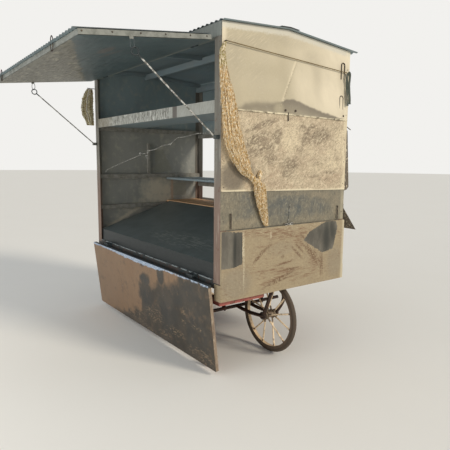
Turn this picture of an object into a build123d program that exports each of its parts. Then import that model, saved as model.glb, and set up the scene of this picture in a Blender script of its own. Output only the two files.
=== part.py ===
"""Street vendor's hand cart: a tall sheet-metal stall cabin on a three-wheeled steel chassis.

Frame: +X towards the closed near end, -Y towards the serving side, +Z up, ground at Z = 0.
The origin lies on the ground below the middle of the overall box. Units are millimetres.
"""
import os
from math import atan, cos, radians, sin

from build123d import *

# Cabin: overall sizes
cabin_length = 2100.0
cabin_width = 1220.0
deck_top = 678.0
front_eave = 2333.0
back_eave_drop = 21.0
ridge_rise = 33.0
ridge_in = 560.0
sheet_wall = 2.0
lap = 22.0
lap_step = 2.3
seat_gap = 0.3

# Posts, plates and girts
post_face = 72.0
post_side = 50.0
post_wall = 5.0
plate_height = 50.0
plate_width = 40.0
girt_height = 40.0
girt_width = 30.0
rafter_height = 36.0
rafter_width = 30.0

# Deck
deck_board = 18.0
bearer_height = 40.0
bearer_width = 45.0
bearer_count = 5

# Chassis
rail_height = 40.0
rail_width = 50.0
rail_bottom = 493.0
side_rail_in = 60.0
bay_rail_in = 410.0
bay_depth = 600.0
end_beam_in = 48.0
end_beam_back_in = 112.0
tail_beam_in = 10.0
riser_size = 40.0

# Wheels
wheel_radius = 293.0
tyre_width = 34.0
tyre_depth = 26.0
tyre_bead = 2.0
rim_depth = 20.0
rim_width = 28.0
rim_wall = 4.0
spoke_count = 12
spoke_radius = 6.5
spoke_seat = 3.0
hub_radius = 26.0
hub_length = 92.0
flange_radius = 36.0
flange_wall = 5.0
flange_out = 30.0
axle_radius = 10.0
bearing_gap = 0.05
front_wheel_in = 180.0
rear_wheel_in = 1550.0
rear_side_in = 165.0
wheel_play = 2.0
collar_radius = 16.0

# Fork and lower cross bar of the front wheel
fork_half = 66.0
fork_tube = 14.0
fork_lean = 72.0
fork_sag = 12.0
crown_half = 42.0
crown_height = 16.0
crown_width = 44.0
dropout_wall = 7.0
dropout_size = 60.0
axle_over = 12.0
crossbar_in = 505.0
crossbar_height = 288.0
crossbar_radius = 14.0
crossbar_over = 190.0
hanger_width = 40.0
hanger_wall = 8.0

# End wall: seams measured up from the ground
skirt_bottom = 541.0
band_bottom = 1022.0
middle_bottom = 1268.0
upper_bottom = 1798.0
skirt_play = 6.0
skirt_stand = 2.0
skirt_depth = 14.0
skirt_edge = 25.0
skirt_hinge_up = 8.0
skirt_start = 18.0
skirt_return = 60.0
skirt_return_top = 655.0
skirt_barrel = 7.0
skirt_hinge_gap = 5.5
skirt_hinge_in = 240.0
hook_radius = 4.0
hook_length = 105.0
hook_in = 80.0

# Iron fittings on the near end, measured in from the back edge and up from their seam
bolt_head = 8.0
bolt_height = 9.0
bolt_places = ((674, 30), (577, 33), (151, 23), (62, 29))
pin_places = ((644, 18), (642, -42))
hasp_places = (654, 564)
hasp_rise = 8.0
fitting_radius = 3.5
# Wire hooks: both legs in from the back edge, then bend and feet as shares of the upper sheet's height
end_hooks = ((101, 64, 0.782, 0.582, 0.663), (108, 71, 0.309, 0.134, 0.150))
flange_foot = 1248.0
flange_head = 1736.0
flange_grip = 30.0
# Corner flange: outer corners from foot to head, measured from its foot and its head
flange_reach = ((34, 8), (56, 30), (14, -18))
flange_sheet = 1.5
stick_reach = ((2, 14), (50, -8))

# Awning
awning_depth = 860.0
awning_tilt = 6.9
awning_inset = 38.0
awning_hinge_out = 34.0
awning_hinge_drop = 97.0
awning_frame = 30.0
awning_start = 16.0
awning_lip = 24.0
rib_pitch = 50.0
rib_height = 9.0
awning_sheet = 1.5
awning_bar = 25.0
awning_bays = 4
awning_nose = 50.0
lug_half = 12.0
lug_drop = 12.0
stay_reach = 560.0

# Stays
stay_radius = 5.0
stay_in = 25.0
stay_pivot_drop = 609.0
stay_pivot_out = 30.0
stay_length = 705.0
stay_angle = 50.5
ring_radius = 22.0
ring_wire = 4.0
eye_radius = 13.0
eye_half = 6.0
stay_bolt = 4.0
stay_lug = 5.0
bolt_over = 2.0

# Serving flap
flap_inset = 38.0
flap_length = 638.0
flap_lean = 6.5
flap_hinge_out = 42.0
flap_hinge_drop = 6.0
flap_back = 4.0
flap_frame = 24.0
flap_start = 15.0
flap_sheet = 2.0
flap_edge = 28.0

# Hinges
barrel_radius = 8.0
pin_radius = 4.0
barrel_length = 60.0
arm_wall = 5.0
arm_gap = 1.0
hinge_in = 260.0

# Inside
sill_height = 110.0
counter_start = 12.0
counter_end = 788.0
counter_rise = 247.0
counter_play = 3.0
shelf_in = 790.0
shelf_height = 1040.0
shelf_board = 20.0
loft_height = 1783.0
loft_strip = 80.0
loft_depth = 470.0
loft_board = 12.0
upright_size = 30.0

far_stud_in = 552.0
far_stud_width = 26.0
far_stud_top = 1645.0

# Openings of the back wall
back_window_in = 74.0
back_window_width = 391.0
back_window_bottom = 1275.0
back_window_top = 1757.0
slot_bottom = 1057.0
slot_top = 1206.0

# Loose sheet at the near back corner, bent out from the back wall
loose_length = 620.0
loose_top = 1110.0
loose_out = 172.0
loose_drop = 190.0
loose_lip = 30.0

# Roof
roof_pitch = 50.0
roof_wave = 11.0
roof_sheet = 1.5
roof_end = 30.0
roof_front = 4.0
roof_back = 58.0
cap_reach = 85.0

# Rope across the near end, and the hook of the far net, measured down from the eaves
far_hook_drop = 177.0
far_hook_out = 76.0
rope_radius = 3.5
rope_stand = 8.5
rope_in = 25.0
rope_front_drop = 119.0
rope_back_drop = 164.0

# Stations down the gathered net curtain: distance in from the serving plane, share of its hang,
# half width, half depth. It hangs from the rope to just above the foot of the band.
curtain_foot_rise = 6.0
curtain_stations = (
    (21, 0.0, 9, 6), (-4, 0.051, 21, 10), (-2, 0.108, 26, 12), (10, 0.179, 36, 16),
    (24, 0.251, 47, 21), (38, 0.322, 59, 26), (50, 0.394, 66, 29), (66, 0.468, 72, 31),
    (90, 0.542, 78, 33), (134, 0.617, 70, 31), (180, 0.679, 53, 25), (228, 0.709, 34, 21),
    (262, 0.728, 30, 20), (300, 0.751, 44, 22), (311, 0.776, 50, 22), (330, 0.858, 45, 20),
    (360, 0.942, 32, 15), (388, 1.0, 18, 9),
)
# Stations of the far net: distance out from the serving plane, drop below its top, half width, half depth
far_net_in = 7.0
far_net_stations = (
    (48, 0, 32, 12), (56, 34, 50, 18), (70, 99, 66, 20), (77, 200, 73, 20),
    (62, 290, 58, 18), (50, 346, 42, 14),
)

# Prop leg
leg_in = 210.0
leg_size = 30.0
leg_foot = 2.0
leg_pivot_drop = 24.0

# Places that follow from the sizes
back_eave = front_eave - back_eave_drop
ridge_height = front_eave + ridge_rise
half_length = cabin_length / 2
near_reach = max(wheel_radius - front_wheel_in, roof_end)
cabin_x = (roof_end - near_reach) / 2
near_x = cabin_x + half_length
far_x = cabin_x - half_length
awning_cos = cos(radians(awning_tilt))
awning_sin = sin(radians(awning_tilt))
awning_top = awning_frame / 2 + rib_height + awning_sheet
awning_reach = (
    awning_hinge_out + (awning_depth + awning_lip) * awning_cos + awning_top * awning_sin
)
back_reach = cabin_width + max(roof_back, loose_out)
front_y = (awning_reach - back_reach) / 2
back_y = front_y + cabin_width
middle_y = front_y + cabin_width / 2
ridge_y = front_y + ridge_in
board_bottom = deck_top - deck_board
bearer_bottom = board_bottom - bearer_height
rail_top = rail_bottom + rail_height
axle_height = wheel_radius
front_wheel_x = near_x - front_wheel_in
rear_wheel_x = near_x - rear_wheel_in
rear_near_y = front_y + rear_side_in
rear_far_y = back_y - rear_side_in
end_face_x = near_x + 2 * lap_step + sheet_wall
shelf_bottom = shelf_height - shelf_board
far_girt_top = middle_bottom + seat_gap + shelf_board + seat_gap + girt_height
hub_clear = hub_length / 2 + wheel_play
axle_rail_y = (
    rear_near_y + hub_clear + hanger_wall + rail_width / 2,
    rear_far_y - hub_clear - hanger_wall - rail_width / 2,
)
awning_axis = (front_y - awning_hinge_out, front_eave - awning_hinge_drop)
flap_axis = (front_y - flap_hinge_out, deck_top - flap_hinge_drop)
stay_axis = (front_y - stay_pivot_out, awning_axis[1] - stay_pivot_drop)
skirt_axis = (
    near_x + skirt_stand + skirt_depth - sheet_wall - skirt_hinge_gap - skirt_barrel,
    skirt_bottom + skirt_hinge_up,
)
skirt_hinge_y = (front_y + skirt_hinge_in, back_y - skirt_hinge_in)
leg_axis = (near_x - leg_in, rail_bottom - leg_pivot_drop)
rope_x = end_face_x + rope_radius + rope_stand
rope_ends = (
    (rope_x, front_y + rope_in, front_eave - rope_front_drop),
    (rope_x, back_y - rope_in, back_eave - rope_back_drop),
)
curtain_top = rope_ends[0][2] - rope_radius - seat_gap
curtain_hang = curtain_top - band_bottom - curtain_foot_rise
far_hook_height = front_eave - far_hook_drop
far_net_top = far_hook_height - rope_radius - seat_gap

os.makedirs("parts", exist_ok=True)


def block(x0, x1, y0, y1, z0, z1, mode=Mode.ADD):
    """A box between two corners."""
    with Locations(((x0 + x1) / 2, (y0 + y1) / 2, (z0 + z1) / 2)):
        Box(abs(x1 - x0), abs(y1 - y0), abs(z1 - z0), mode=mode)


def rod(start, end, radius, mode=Mode.ADD):
    """A round bar from one point to another."""
    run = Vector(*end) - Vector(*start)
    with BuildSketch(Plane(origin=start, z_dir=run)) as section:
        Circle(radius)
    extrude(section.sketch, amount=run.length, mode=mode)


def bar_x(x0, x1, y, z, radius, mode=Mode.ADD):
    """A round bar along X, placed in the part's own plane."""
    with Locations(Location(((x0 + x1) / 2, y, z), (0, 90, 0))):
        Cylinder(radius, abs(x1 - x0), mode=mode)


def finish(piece, name):
    """Label a piece and write it as its own file."""
    piece.part.label = name
    export_step(piece.part, f"parts/{name}.step")


def roof_line(y):
    """Height of the top of the end walls at a distance y."""
    if y <= ridge_y:
        share = (y - front_y) / (ridge_y - front_y)
        return front_eave + share * (ridge_height - front_eave)
    share = (y - ridge_y) / (back_y - ridge_y)
    return ridge_height + share * (back_eave - ridge_height)


def hinge_places(reach):
    """Where the two hinges of a flap or awning sit along X."""
    return (-reach + hinge_in, reach - hinge_in)


# Chassis ladder with a bay for the front wheel; its end beams stand back behind the drop flap
with BuildPart() as chassis_frame:
    side_y = (front_y + side_rail_in, back_y - side_rail_in)
    bay_y = (front_y + bay_rail_in, back_y - bay_rail_in)
    bay_x = near_x - bay_depth
    tail_x = far_x + tail_beam_in
    end_x = (near_x - end_beam_in, near_x - end_beam_back_in)
    for side, bay, x in zip(side_y, bay_y, end_x):
        block(tail_x, x, side - rail_width / 2, side + rail_width / 2, rail_bottom, rail_top)
        block(bay_x, x, bay - rail_width / 2, bay + rail_width / 2, rail_bottom, rail_top)
        block(x - rail_width, x, side, bay, rail_bottom, rail_top)
        for riser_x in (x - rail_width / 2, cabin_x - rail_width, tail_x + rail_width / 2):
            block(
                riser_x - riser_size / 2, riser_x + riser_size / 2,
                side - riser_size / 2, side + riser_size / 2, rail_top, bearer_bottom,
            )
    for y in axle_rail_y:
        block(tail_x, bay_x, y - rail_width / 2, y + rail_width / 2, rail_bottom, rail_top)
    for x in (bay_x, tail_x + rail_width):
        block(x - rail_width, x, side_y[0], side_y[1], rail_bottom, rail_top)
finish(chassis_frame, "chassis_frame")

# Deck: steel bearers under boards
with BuildPart() as deck_frame:
    for x0, x1 in ((far_x, far_x + bearer_width), (near_x - bearer_width, near_x)):
        block(x0, x1, front_y, back_y, bearer_bottom, board_bottom)
    for y0, y1 in ((front_y, front_y + bearer_width), (back_y - bearer_width, back_y)):
        block(far_x, near_x, y0, y1, bearer_bottom, board_bottom)
    spacing = (cabin_length - bearer_width) / (bearer_count - 1)
    for i in range(1, bearer_count - 1):
        x = far_x + i * spacing
        block(x, x + bearer_width, front_y, back_y, bearer_bottom, board_bottom)
finish(deck_frame, "deck_frame")

with BuildPart() as deck_boards:
    block(far_x, near_x, front_y, back_y, board_bottom, deck_top)
    for x0 in (far_x, near_x - post_face):
        for y0 in (front_y, back_y - post_side):
            block(
                x0, x0 + post_face, y0, y0 + post_side, board_bottom, deck_top, mode=Mode.SUBTRACT,
            )
finish(deck_boards, "deck_boards")


def corner_post(x_side, y_side):
    """An angle post that stands on the deck frame, its corner outwards."""
    corner_x = near_x if x_side > 0 else far_x
    corner_y = front_y if y_side < 0 else back_y
    top = (front_eave if y_side < 0 else back_eave) - plate_height - rafter_height
    with BuildPart() as post:
        with BuildSketch(Plane.XY.offset(board_bottom)):
            with BuildLine():
                Polyline(
                    (corner_x, corner_y),
                    (corner_x - x_side * post_face, corner_y),
                    (corner_x - x_side * post_face, corner_y - y_side * post_wall),
                    (corner_x - x_side * post_wall, corner_y - y_side * post_wall),
                    (corner_x - x_side * post_wall, corner_y - y_side * post_side),
                    (corner_x, corner_y - y_side * post_side),
                    close=True,
                )
            make_face()
        extrude(amount=top - board_bottom)
    return post


for x_side, end_name in ((1, "near"), (-1, "far")):
    for y_side, side_name in ((-1, "serving"), (1, "back")):
        finish(corner_post(x_side, y_side), f"post_{end_name}_{side_name}")

# Wall plates that carry the rafters
plate_top = {"serving": front_eave - rafter_height, "back": back_eave - rafter_height}
for side_name, y0 in (("serving", front_y), ("back", back_y - plate_width)):
    with BuildPart() as plate:
        block(
            far_x, near_x, y0, y0 + plate_width,
            plate_top[side_name] - plate_height, plate_top[side_name],
        )
        if side_name == "serving":
            block(
                far_x, near_x, front_y - sheet_wall, front_y,
                plate_top[side_name] - plate_height, front_eave - seat_gap,
            )
            for place in hinge_places(half_length - awning_inset):
                half = barrel_length / 2 + arm_gap + arm_wall + seat_gap
                block(
                    cabin_x + place - half, cabin_x + place + half, front_y - sheet_wall, front_y,
                    plate_top[side_name] - plate_height, plate_top[side_name] + seat_gap,
                    mode=Mode.SUBTRACT,
                )
    finish(plate, f"plate_{side_name}")

# Rafters: three gabled pairs
with BuildPart() as rafters:
    for x0 in (far_x, cabin_x - rafter_width / 2, near_x - rafter_width):
        with BuildSketch(Plane.YZ.offset(x0)):
            with BuildLine():
                Polyline(
                    (front_y, front_eave),
                    (ridge_y, ridge_height),
                    (back_y, back_eave),
                    (back_y, back_eave - rafter_height),
                    (ridge_y, ridge_height - rafter_height),
                    (front_y, front_eave - rafter_height),
                    close=True,
                )
            make_face()
        extrude(amount=rafter_width)
    block(
        far_x, near_x, ridge_y - rafter_width / 2, ridge_y + rafter_width / 2,
        ridge_height - 2 * rafter_height, ridge_height - rafter_height / 2,
    )
finish(rafters, "rafters")


def corrugated(plane, length, depth, pitch, height, wall):
    """A corrugated sheet: its waves lie side by side along the plane's X and run along its Z."""
    count = max(2, int(length // pitch))
    half_wave = length / count / 2
    with BuildSketch(plane) as section:
        with BuildLine():
            for base in (height / 2, height / 2 + wall):
                for i in range(2 * count):
                    x = -length / 2 + i * half_wave
                    crest = base + (height / 2 if i % 2 else -height / 2)
                    ThreePointArc((x, base), (x + half_wave / 2, crest), (x + half_wave, base))
            for x in (-length / 2, length / 2):
                Line((x, height / 2), (x, height / 2 + wall))
        make_face()
    extrude(section.sketch, amount=depth)


def roof_slope(y0, z0, y1, z1):
    """One slope of the roof, from (y0, z0) to (y1, z1), resting on the rafters."""
    run = Vector(0, y1 - y0, z1 - z0)
    with BuildPart() as slope:
        plane = Plane(origin=(cabin_x, y0, z0 + seat_gap), x_dir=(-1, 0, 0), z_dir=run)
        corrugated(plane, cabin_length + 2 * roof_end, run.length, roof_pitch, roof_wave, roof_sheet)
    return slope


# Corrugated roof in two slopes, and the folded cap over their ridge
front_rise = (ridge_height - front_eave) / ridge_in
back_fall = (ridge_height - back_eave) / (cabin_width - ridge_in)
front_lip = (front_y - roof_front, front_eave - roof_front * front_rise)
back_lip = (back_y + roof_back, back_eave - roof_back * back_fall)
finish(roof_slope(*front_lip, ridge_y - seat_gap, ridge_height), "roof_serving")
finish(roof_slope(ridge_y + seat_gap, ridge_height, *back_lip), "roof_back")

with BuildPart() as ridge_cap:
    steepest = atan(max(front_rise, back_fall))
    cap_base = ridge_height + (roof_wave + roof_sheet) / cos(steepest) + 2 * seat_gap
    with BuildSketch(Plane.YZ.offset(far_x - roof_end)):
        with BuildLine():
            Polyline(
                (ridge_y - cap_reach, cap_base - cap_reach * front_rise),
                (ridge_y, cap_base),
                (ridge_y + cap_reach, cap_base - cap_reach * back_fall),
                (ridge_y + cap_reach, cap_base - cap_reach * back_fall + sheet_wall),
                (ridge_y, cap_base + sheet_wall),
                (ridge_y - cap_reach, cap_base - cap_reach * front_rise + sheet_wall),
                close=True,
            )
        make_face()
    extrude(amount=cabin_length + 2 * roof_end)
finish(ridge_cap, "ridge_cap")

# Girts between the posts, inside the end walls and the back wall
with BuildPart() as end_girts:
    for x0, middle_top in (
        (near_x - post_wall - seat_gap - girt_width, middle_bottom),
        (far_x + post_wall + seat_gap, far_girt_top),
    ):
        for z0 in (shelf_bottom, middle_top, upper_bottom):
            block(
                x0, x0 + girt_width, front_y + post_wall + seat_gap,
                back_y - post_wall - seat_gap, z0 - girt_height, z0,
            )
    block(
        x0, x0 + girt_width, front_y + far_stud_in, front_y + far_stud_in + far_stud_width,
        far_girt_top, far_stud_top,
    )
finish(end_girts, "end_girts")

with BuildPart() as back_girts:
    girt_y = back_y - post_wall - seat_gap
    girt_in = post_wall + 2 * seat_gap + girt_width
    for z0 in (middle_bottom - girt_height, upper_bottom - girt_height):
        block(far_x + girt_in, near_x - girt_in, girt_y - girt_width, girt_y, z0 - girt_height, z0)
    stud_x = far_x + back_window_in + back_window_width
    block(
        stud_x, stud_x + girt_height, girt_y - girt_width, girt_y,
        deck_top, middle_bottom - 2 * girt_height,
    )
finish(back_girts, "back_girts")


def end_sheet(x_face, thickness, z0, z1, name, gabled=False):
    """A flat sheet on an end of the cabin, its top cut to the roof line when gabled."""
    with BuildPart() as sheet:
        with BuildSketch(Plane.YZ.offset(x_face)):
            with BuildLine():
                if gabled:
                    Polyline(
                        (front_y, z0), (back_y, z0), (back_y, roof_line(back_y)),
                        (ridge_y, roof_line(ridge_y)), (front_y, roof_line(front_y)), close=True,
                    )
                else:
                    Polyline((front_y, z0), (back_y, z0), (back_y, z1), (front_y, z1), close=True)
            make_face()
        extrude(amount=thickness)
    finish(sheet, name)


# Near end: three fixed sheets, each lapped over the one below
end_sheet(near_x, sheet_wall, band_bottom, middle_bottom, "end_band")
end_sheet(near_x + lap_step, sheet_wall, middle_bottom - lap, upper_bottom, "end_middle")
end_sheet(near_x + 2 * lap_step, sheet_wall, upper_bottom - lap, ridge_height, "end_upper", gabled=True)

# Far end: one closed sheet
end_sheet(far_x - sheet_wall, sheet_wall, board_bottom, ridge_height, "far_wall", gabled=True)

# Back wall with a window and a slot beside the far post
with BuildPart() as back_wall:
    block(far_x, near_x, back_y, back_y + sheet_wall, board_bottom, back_eave)
    window_x = far_x + back_window_in
    for z0, z1 in ((back_window_bottom, back_window_top), (slot_bottom, slot_top)):
        block(
            window_x, window_x + back_window_width, back_y, back_y + sheet_wall, z0, z1,
            mode=Mode.SUBTRACT,
        )
finish(back_wall, "back_wall")

# Loose sheet that is bent out from the back wall, with a lip screwed to the wall
with BuildPart() as back_loose_sheet:
    with BuildSketch(Plane.YZ.offset(near_x - loose_length)):
        with BuildLine():
            wall_y = back_y + sheet_wall + seat_gap
            Polyline(
                (wall_y, loose_top + loose_lip), (wall_y, loose_top),
                (back_y + loose_out - sheet_wall, loose_top - loose_drop),
                (back_y + loose_out, loose_top - loose_drop),
                (wall_y + sheet_wall, loose_top), (wall_y + sheet_wall, loose_top + loose_lip),
                close=True,
            )
        make_face()
    extrude(amount=loose_length)
finish(back_loose_sheet, "back_loose_sheet")

# Serving side: counter sheet with its sill, shelves, fascia strip and loft floor
counter_in = post_face + counter_play
with BuildPart() as counter_slope:
    with BuildSketch(Plane.YZ.offset(far_x + counter_in)):
        with BuildLine():
            sill_y = front_y + counter_start
            sill_top = deck_top + sill_height
            slope_y = front_y + counter_end
            slope_top = sill_top + counter_rise
            Polyline(
                (sill_y, deck_top), (sill_y, sill_top), (slope_y, slope_top),
                (slope_y, slope_top - sheet_wall), (sill_y + sheet_wall, sill_top - sheet_wall),
                (sill_y + sheet_wall, deck_top), close=True,
            )
        make_face()
    extrude(amount=cabin_length - 2 * counter_in)
finish(counter_slope, "counter_slope")

shelf_ends = (far_x + post_wall + 2 * seat_gap, near_x - post_wall - 2 * seat_gap)
shelf_back = back_y - post_side - seat_gap
with BuildPart() as plank_shelf:
    block(*shelf_ends, front_y + shelf_in, shelf_back, shelf_bottom + seat_gap, shelf_height)
finish(plank_shelf, "plank_shelf")

with BuildPart() as upper_shelf:
    rest = middle_bottom + seat_gap
    block(*shelf_ends, front_y + shelf_in, shelf_back, rest, rest + shelf_board)
finish(upper_shelf, "upper_shelf")

with BuildPart() as shelf_uprights:
    upright_in = girt_in + seat_gap
    for x0 in (far_x + upright_in, near_x - upright_in - upright_size):
        block(
            x0, x0 + upright_size, front_y + shelf_in, front_y + shelf_in + upright_size,
            deck_top + seat_gap, shelf_bottom,
        )
finish(shelf_uprights, "shelf_uprights")

with BuildPart() as loft_floor:
    rest = upper_bottom + seat_gap
    block(
        *shelf_ends, front_y + post_wall + seat_gap, front_y + loft_depth, rest, rest + loft_board
    )
finish(loft_floor, "loft_floor")

with BuildPart() as loft_fascia:
    fascia_in = post_face + seat_gap
    block(
        far_x + fascia_in, near_x - fascia_in, front_y, front_y + sheet_wall,
        loft_height, loft_height + loft_strip,
    )
finish(loft_fascia, "loft_fascia")


def wheel_metal(x, y):
    """Hub, twelve rod spokes and channel rim of one wheel, turning about Y."""
    centre = Vector(x, y, axle_height)
    rim_outer = wheel_radius - tyre_depth
    web = rim_outer - rim_depth
    half = rim_width / 2
    with BuildPart() as wheel:
        with BuildSketch(Plane(origin=centre, x_dir=(1, 0, 0), z_dir=(0, 0, 1))):
            with BuildLine():
                Polyline(
                    (web, -half), (rim_outer, -half), (rim_outer, rim_wall - half),
                    (web + rim_wall, rim_wall - half), (web + rim_wall, half - rim_wall),
                    (rim_outer, half - rim_wall), (rim_outer, half), (web, half), close=True,
                )
            make_face()
            with Locations((hub_radius / 2, 0)):
                Rectangle(hub_radius, hub_length)
            for side in (-1, 1):
                with Locations((flange_radius / 2, side * flange_out)):
                    Rectangle(flange_radius, flange_wall)
        revolve(axis=Axis(centre, (0, 1, 0)))
        for i in range(spoke_count):
            turn = radians(360 / spoke_count * (i + 0.5))
            ray = Vector(cos(turn), 0, sin(turn))
            side = 1 if i % 2 else -1
            foot = centre + ray * (hub_radius - spoke_seat) + Vector(0, side * flange_out, 0)
            tip = centre + ray * (web + rim_wall / 2)
            rod(foot, tip, spoke_radius)
        rod(
            centre - Vector(0, hub_length, 0), centre + Vector(0, hub_length, 0),
            axle_radius + bearing_gap, mode=Mode.SUBTRACT,
        )
    return wheel


def wheel_tyre(x, y):
    """A solid rubber tyre seated in the channel of the rim."""
    centre = Vector(x, y, axle_height)
    rim_outer = wheel_radius - tyre_depth
    seat = rim_outer - rim_depth + rim_wall + seat_gap
    bead = rim_outer + seat_gap
    neck = rim_width / 2 - rim_wall - seat_gap
    half = tyre_width / 2
    shoulder = wheel_radius - tyre_depth / 2
    with BuildPart() as tyre:
        with BuildSketch(Plane(origin=centre, x_dir=(1, 0, 0), z_dir=(0, 0, 1))):
            with BuildLine():
                Polyline(
                    (shoulder, half), (bead, half - tyre_bead), (bead, neck), (seat, neck),
                    (seat, -neck), (bead, -neck), (bead, tyre_bead - half), (shoulder, -half),
                )
                ThreePointArc((shoulder, -half), (wheel_radius, 0), (shoulder, half))
            make_face()
        revolve(axis=Axis(centre, (0, 1, 0)))
    return tyre


for wheel_name, x, y in (
    ("front", front_wheel_x, middle_y),
    ("rear_serving", rear_wheel_x, rear_near_y),
    ("rear_back", rear_wheel_x, rear_far_y),
):
    finish(wheel_metal(x, y), f"wheel_{wheel_name}")
    finish(wheel_tyre(x, y), f"tyre_{wheel_name}")

# Front fork: two tubes bowed round the tyre up to a crown, and two sagging arms back to the cross bar
fork_top = bearer_bottom - crown_height
crossbar_x = near_x - crossbar_in
crown_x = front_wheel_x + fork_lean
with BuildPart() as front_fork:
    block(
        crown_x - crown_width / 2, crown_x + crown_width / 2,
        bay_y[0] - rail_width / 2, bay_y[1] + rail_width / 2, fork_top, bearer_bottom - seat_gap,
    )
    for bay in bay_y:
        block(
            crown_x - crown_width / 2, crown_x + crown_width / 2,
            bay - rail_width / 2, bay + rail_width / 2, rail_top + seat_gap, fork_top,
        )
    for side in (-1, 1):
        hub_point = Vector(front_wheel_x, middle_y + side * fork_half, axle_height)
        with BuildLine() as blade_line:
            Spline(*(
                hub_point + Vector(ahead, side * out, up)
                for ahead, out, up in (
                    (0, 0, 0), (44, 10, 62), (76, 12, 138), (fork_lean + 4, crown_half - fork_half, 240),
                    (fork_lean, crown_half - fork_half, fork_top + crown_height / 2 - axle_height),
                )
            ))
        with BuildSketch(Plane(origin=hub_point, z_dir=blade_line.line % 0)):
            Circle(fork_tube)
        sweep(path=blade_line.line)
        bar_point = Vector(crossbar_x, hub_point.Y, crossbar_height)
        with BuildLine() as arm_line:
            ThreePointArc(hub_point, (hub_point + bar_point) / 2 - Vector(0, 0, fork_sag), bar_point)
        with BuildSketch(Plane(origin=hub_point, z_dir=arm_line.line % 0)):
            Circle(fork_tube)
        sweep(path=arm_line.line)
        rod(
            hub_point - Vector(0, dropout_wall, 0), hub_point + Vector(0, dropout_wall, 0),
            dropout_size / 2,
        )
    rod(
        (front_wheel_x, middle_y - 2 * fork_half, axle_height),
        (front_wheel_x, middle_y + 2 * fork_half, axle_height),
        axle_radius + bearing_gap, mode=Mode.SUBTRACT,
    )
    rod(
        (crossbar_x, bay_y[0] - crossbar_over, crossbar_height),
        (crossbar_x, bay_y[1] + crossbar_over, crossbar_height), crossbar_radius,
    )
    for y in bay_y:
        block(
            crossbar_x - hanger_width / 2, crossbar_x + hanger_width / 2,
            y - hanger_wall / 2, y + hanger_wall / 2,
            crossbar_height - crossbar_radius, rail_bottom - seat_gap,
        )
finish(front_fork, "front_fork")

with BuildPart() as front_axle:
    reach = fork_half + fork_tube + axle_over
    rod(
        (front_wheel_x, middle_y - reach, axle_height),
        (front_wheel_x, middle_y + reach, axle_height), axle_radius,
    )
finish(front_axle, "front_axle")

# Rear axle on two hangers
with BuildPart() as rear_hangers:
    for y, side in ((rear_near_y, 1), (rear_far_y, -1)):
        y0 = y + side * hub_clear
        block(
            rear_wheel_x - hanger_width, rear_wheel_x + hanger_width, y0, y0 + side * hanger_wall,
            axle_height - dropout_size / 2, rail_top,
        )
    rod(
        (rear_wheel_x, front_y, axle_height), (rear_wheel_x, back_y, axle_height),
        axle_radius + bearing_gap, mode=Mode.SUBTRACT,
    )
finish(rear_hangers, "rear_hangers")

with BuildPart() as rear_axle:
    axle_end = hub_clear + axle_over
    rod(
        (rear_wheel_x, rear_near_y - axle_end, axle_height),
        (rear_wheel_x, rear_far_y + axle_end, axle_height), axle_radius,
    )
    for y, side in ((rear_near_y, -1), (rear_far_y, 1)):
        y0 = y + side * hub_clear
        rod(
            (rear_wheel_x, y0, axle_height), (rear_wheel_x, y0 + side * axle_over, axle_height),
            collar_radius,
        )
finish(rear_axle, "rear_axle")


def fixed_hinges(axis, reach, face, z0, z1):
    """Back plates with two arms and a pin each, carried at a face of constant Y."""
    y, z = axis
    half = barrel_length / 2 + arm_gap
    with BuildPart() as hinges:
        for place in hinge_places(reach):
            x = cabin_x + place
            block(x - half - arm_wall, x + half + arm_wall, face - arm_wall, face, z0, z1)
            for x0 in (x - half - arm_wall, x + half):
                block(x0, x0 + arm_wall, y - barrel_radius, face, z - barrel_radius, z + barrel_radius)
            bar_x(x - half - arm_wall, x + half + arm_wall, y, z, pin_radius)
    return hinges


def moving_barrels(reach, tongue, y0, z0):
    """Barrels on the local X axis, joined by tongues to the panel's frame."""
    half = barrel_length / 2
    for x in hinge_places(reach):
        bar_x(x - half, x + half, 0, 0, barrel_radius)
        block(x - half, x + half, y0, 0, z0, z0 + tongue)
        bar_x(x - half - arm_gap, x + half + arm_gap, 0, 0, pin_radius + bearing_gap, mode=Mode.SUBTRACT)


# Awning: tin below a steel frame, ribbed sheet above, hinged at the front wall plate
awning_plane = Plane(
    origin=(cabin_x, *awning_axis), x_dir=(1, 0, 0), z_dir=(0, -awning_sin, awning_cos)
)
awning_half = half_length - awning_inset
frame_low = awning_sheet - awning_frame / 2
frame_high = awning_frame / 2
with BuildPart(awning_plane) as awning_frame_part:
    for sx in (-1, 1):
        block(
            sx * awning_half, sx * (awning_half - awning_bar), -awning_depth, -awning_start,
            frame_low, frame_high,
        )
    for y0 in (-awning_depth, -awning_start - awning_bar):
        block(-awning_half, awning_half, y0, y0 + awning_bar, frame_low, frame_high)
    for i in range(1, awning_bays):
        x = -awning_half + i * 2 * awning_half / awning_bays
        block(
            x - awning_bar / 2, x + awning_bar / 2, -awning_depth, -awning_start, frame_low, frame_high
        )
    moving_barrels(awning_half, arm_wall, -awning_start - awning_bar, -arm_wall / 2)
    for sx in (-1, 1):
        x1 = sx * awning_half
        with BuildSketch(Plane.YZ.offset(min(x1, x1 - sx * awning_bar))) as nose:
            with BuildLine():
                Polyline(
                    (-awning_start, frame_low), (-awning_start, frame_high),
                    (-awning_start - awning_nose, frame_high), close=True,
                )
            make_face()
        extrude(nose.sketch, amount=awning_bar, mode=Mode.SUBTRACT)
        block(
            x1, x1 - sx * stay_lug, -stay_reach - lug_half, -stay_reach + lug_half,
            -awning_frame / 2 - lug_drop, frame_high,
        )
finish(awning_frame_part, "awning_frame")

with BuildPart(awning_plane) as awning_tin:
    tin_x = awning_half - stay_lug - seat_gap
    low = -awning_frame / 2 - seat_gap
    block(-tin_x, tin_x, -awning_depth, -awning_start, low, low + awning_sheet)
finish(awning_tin, "awning_tin")

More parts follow.
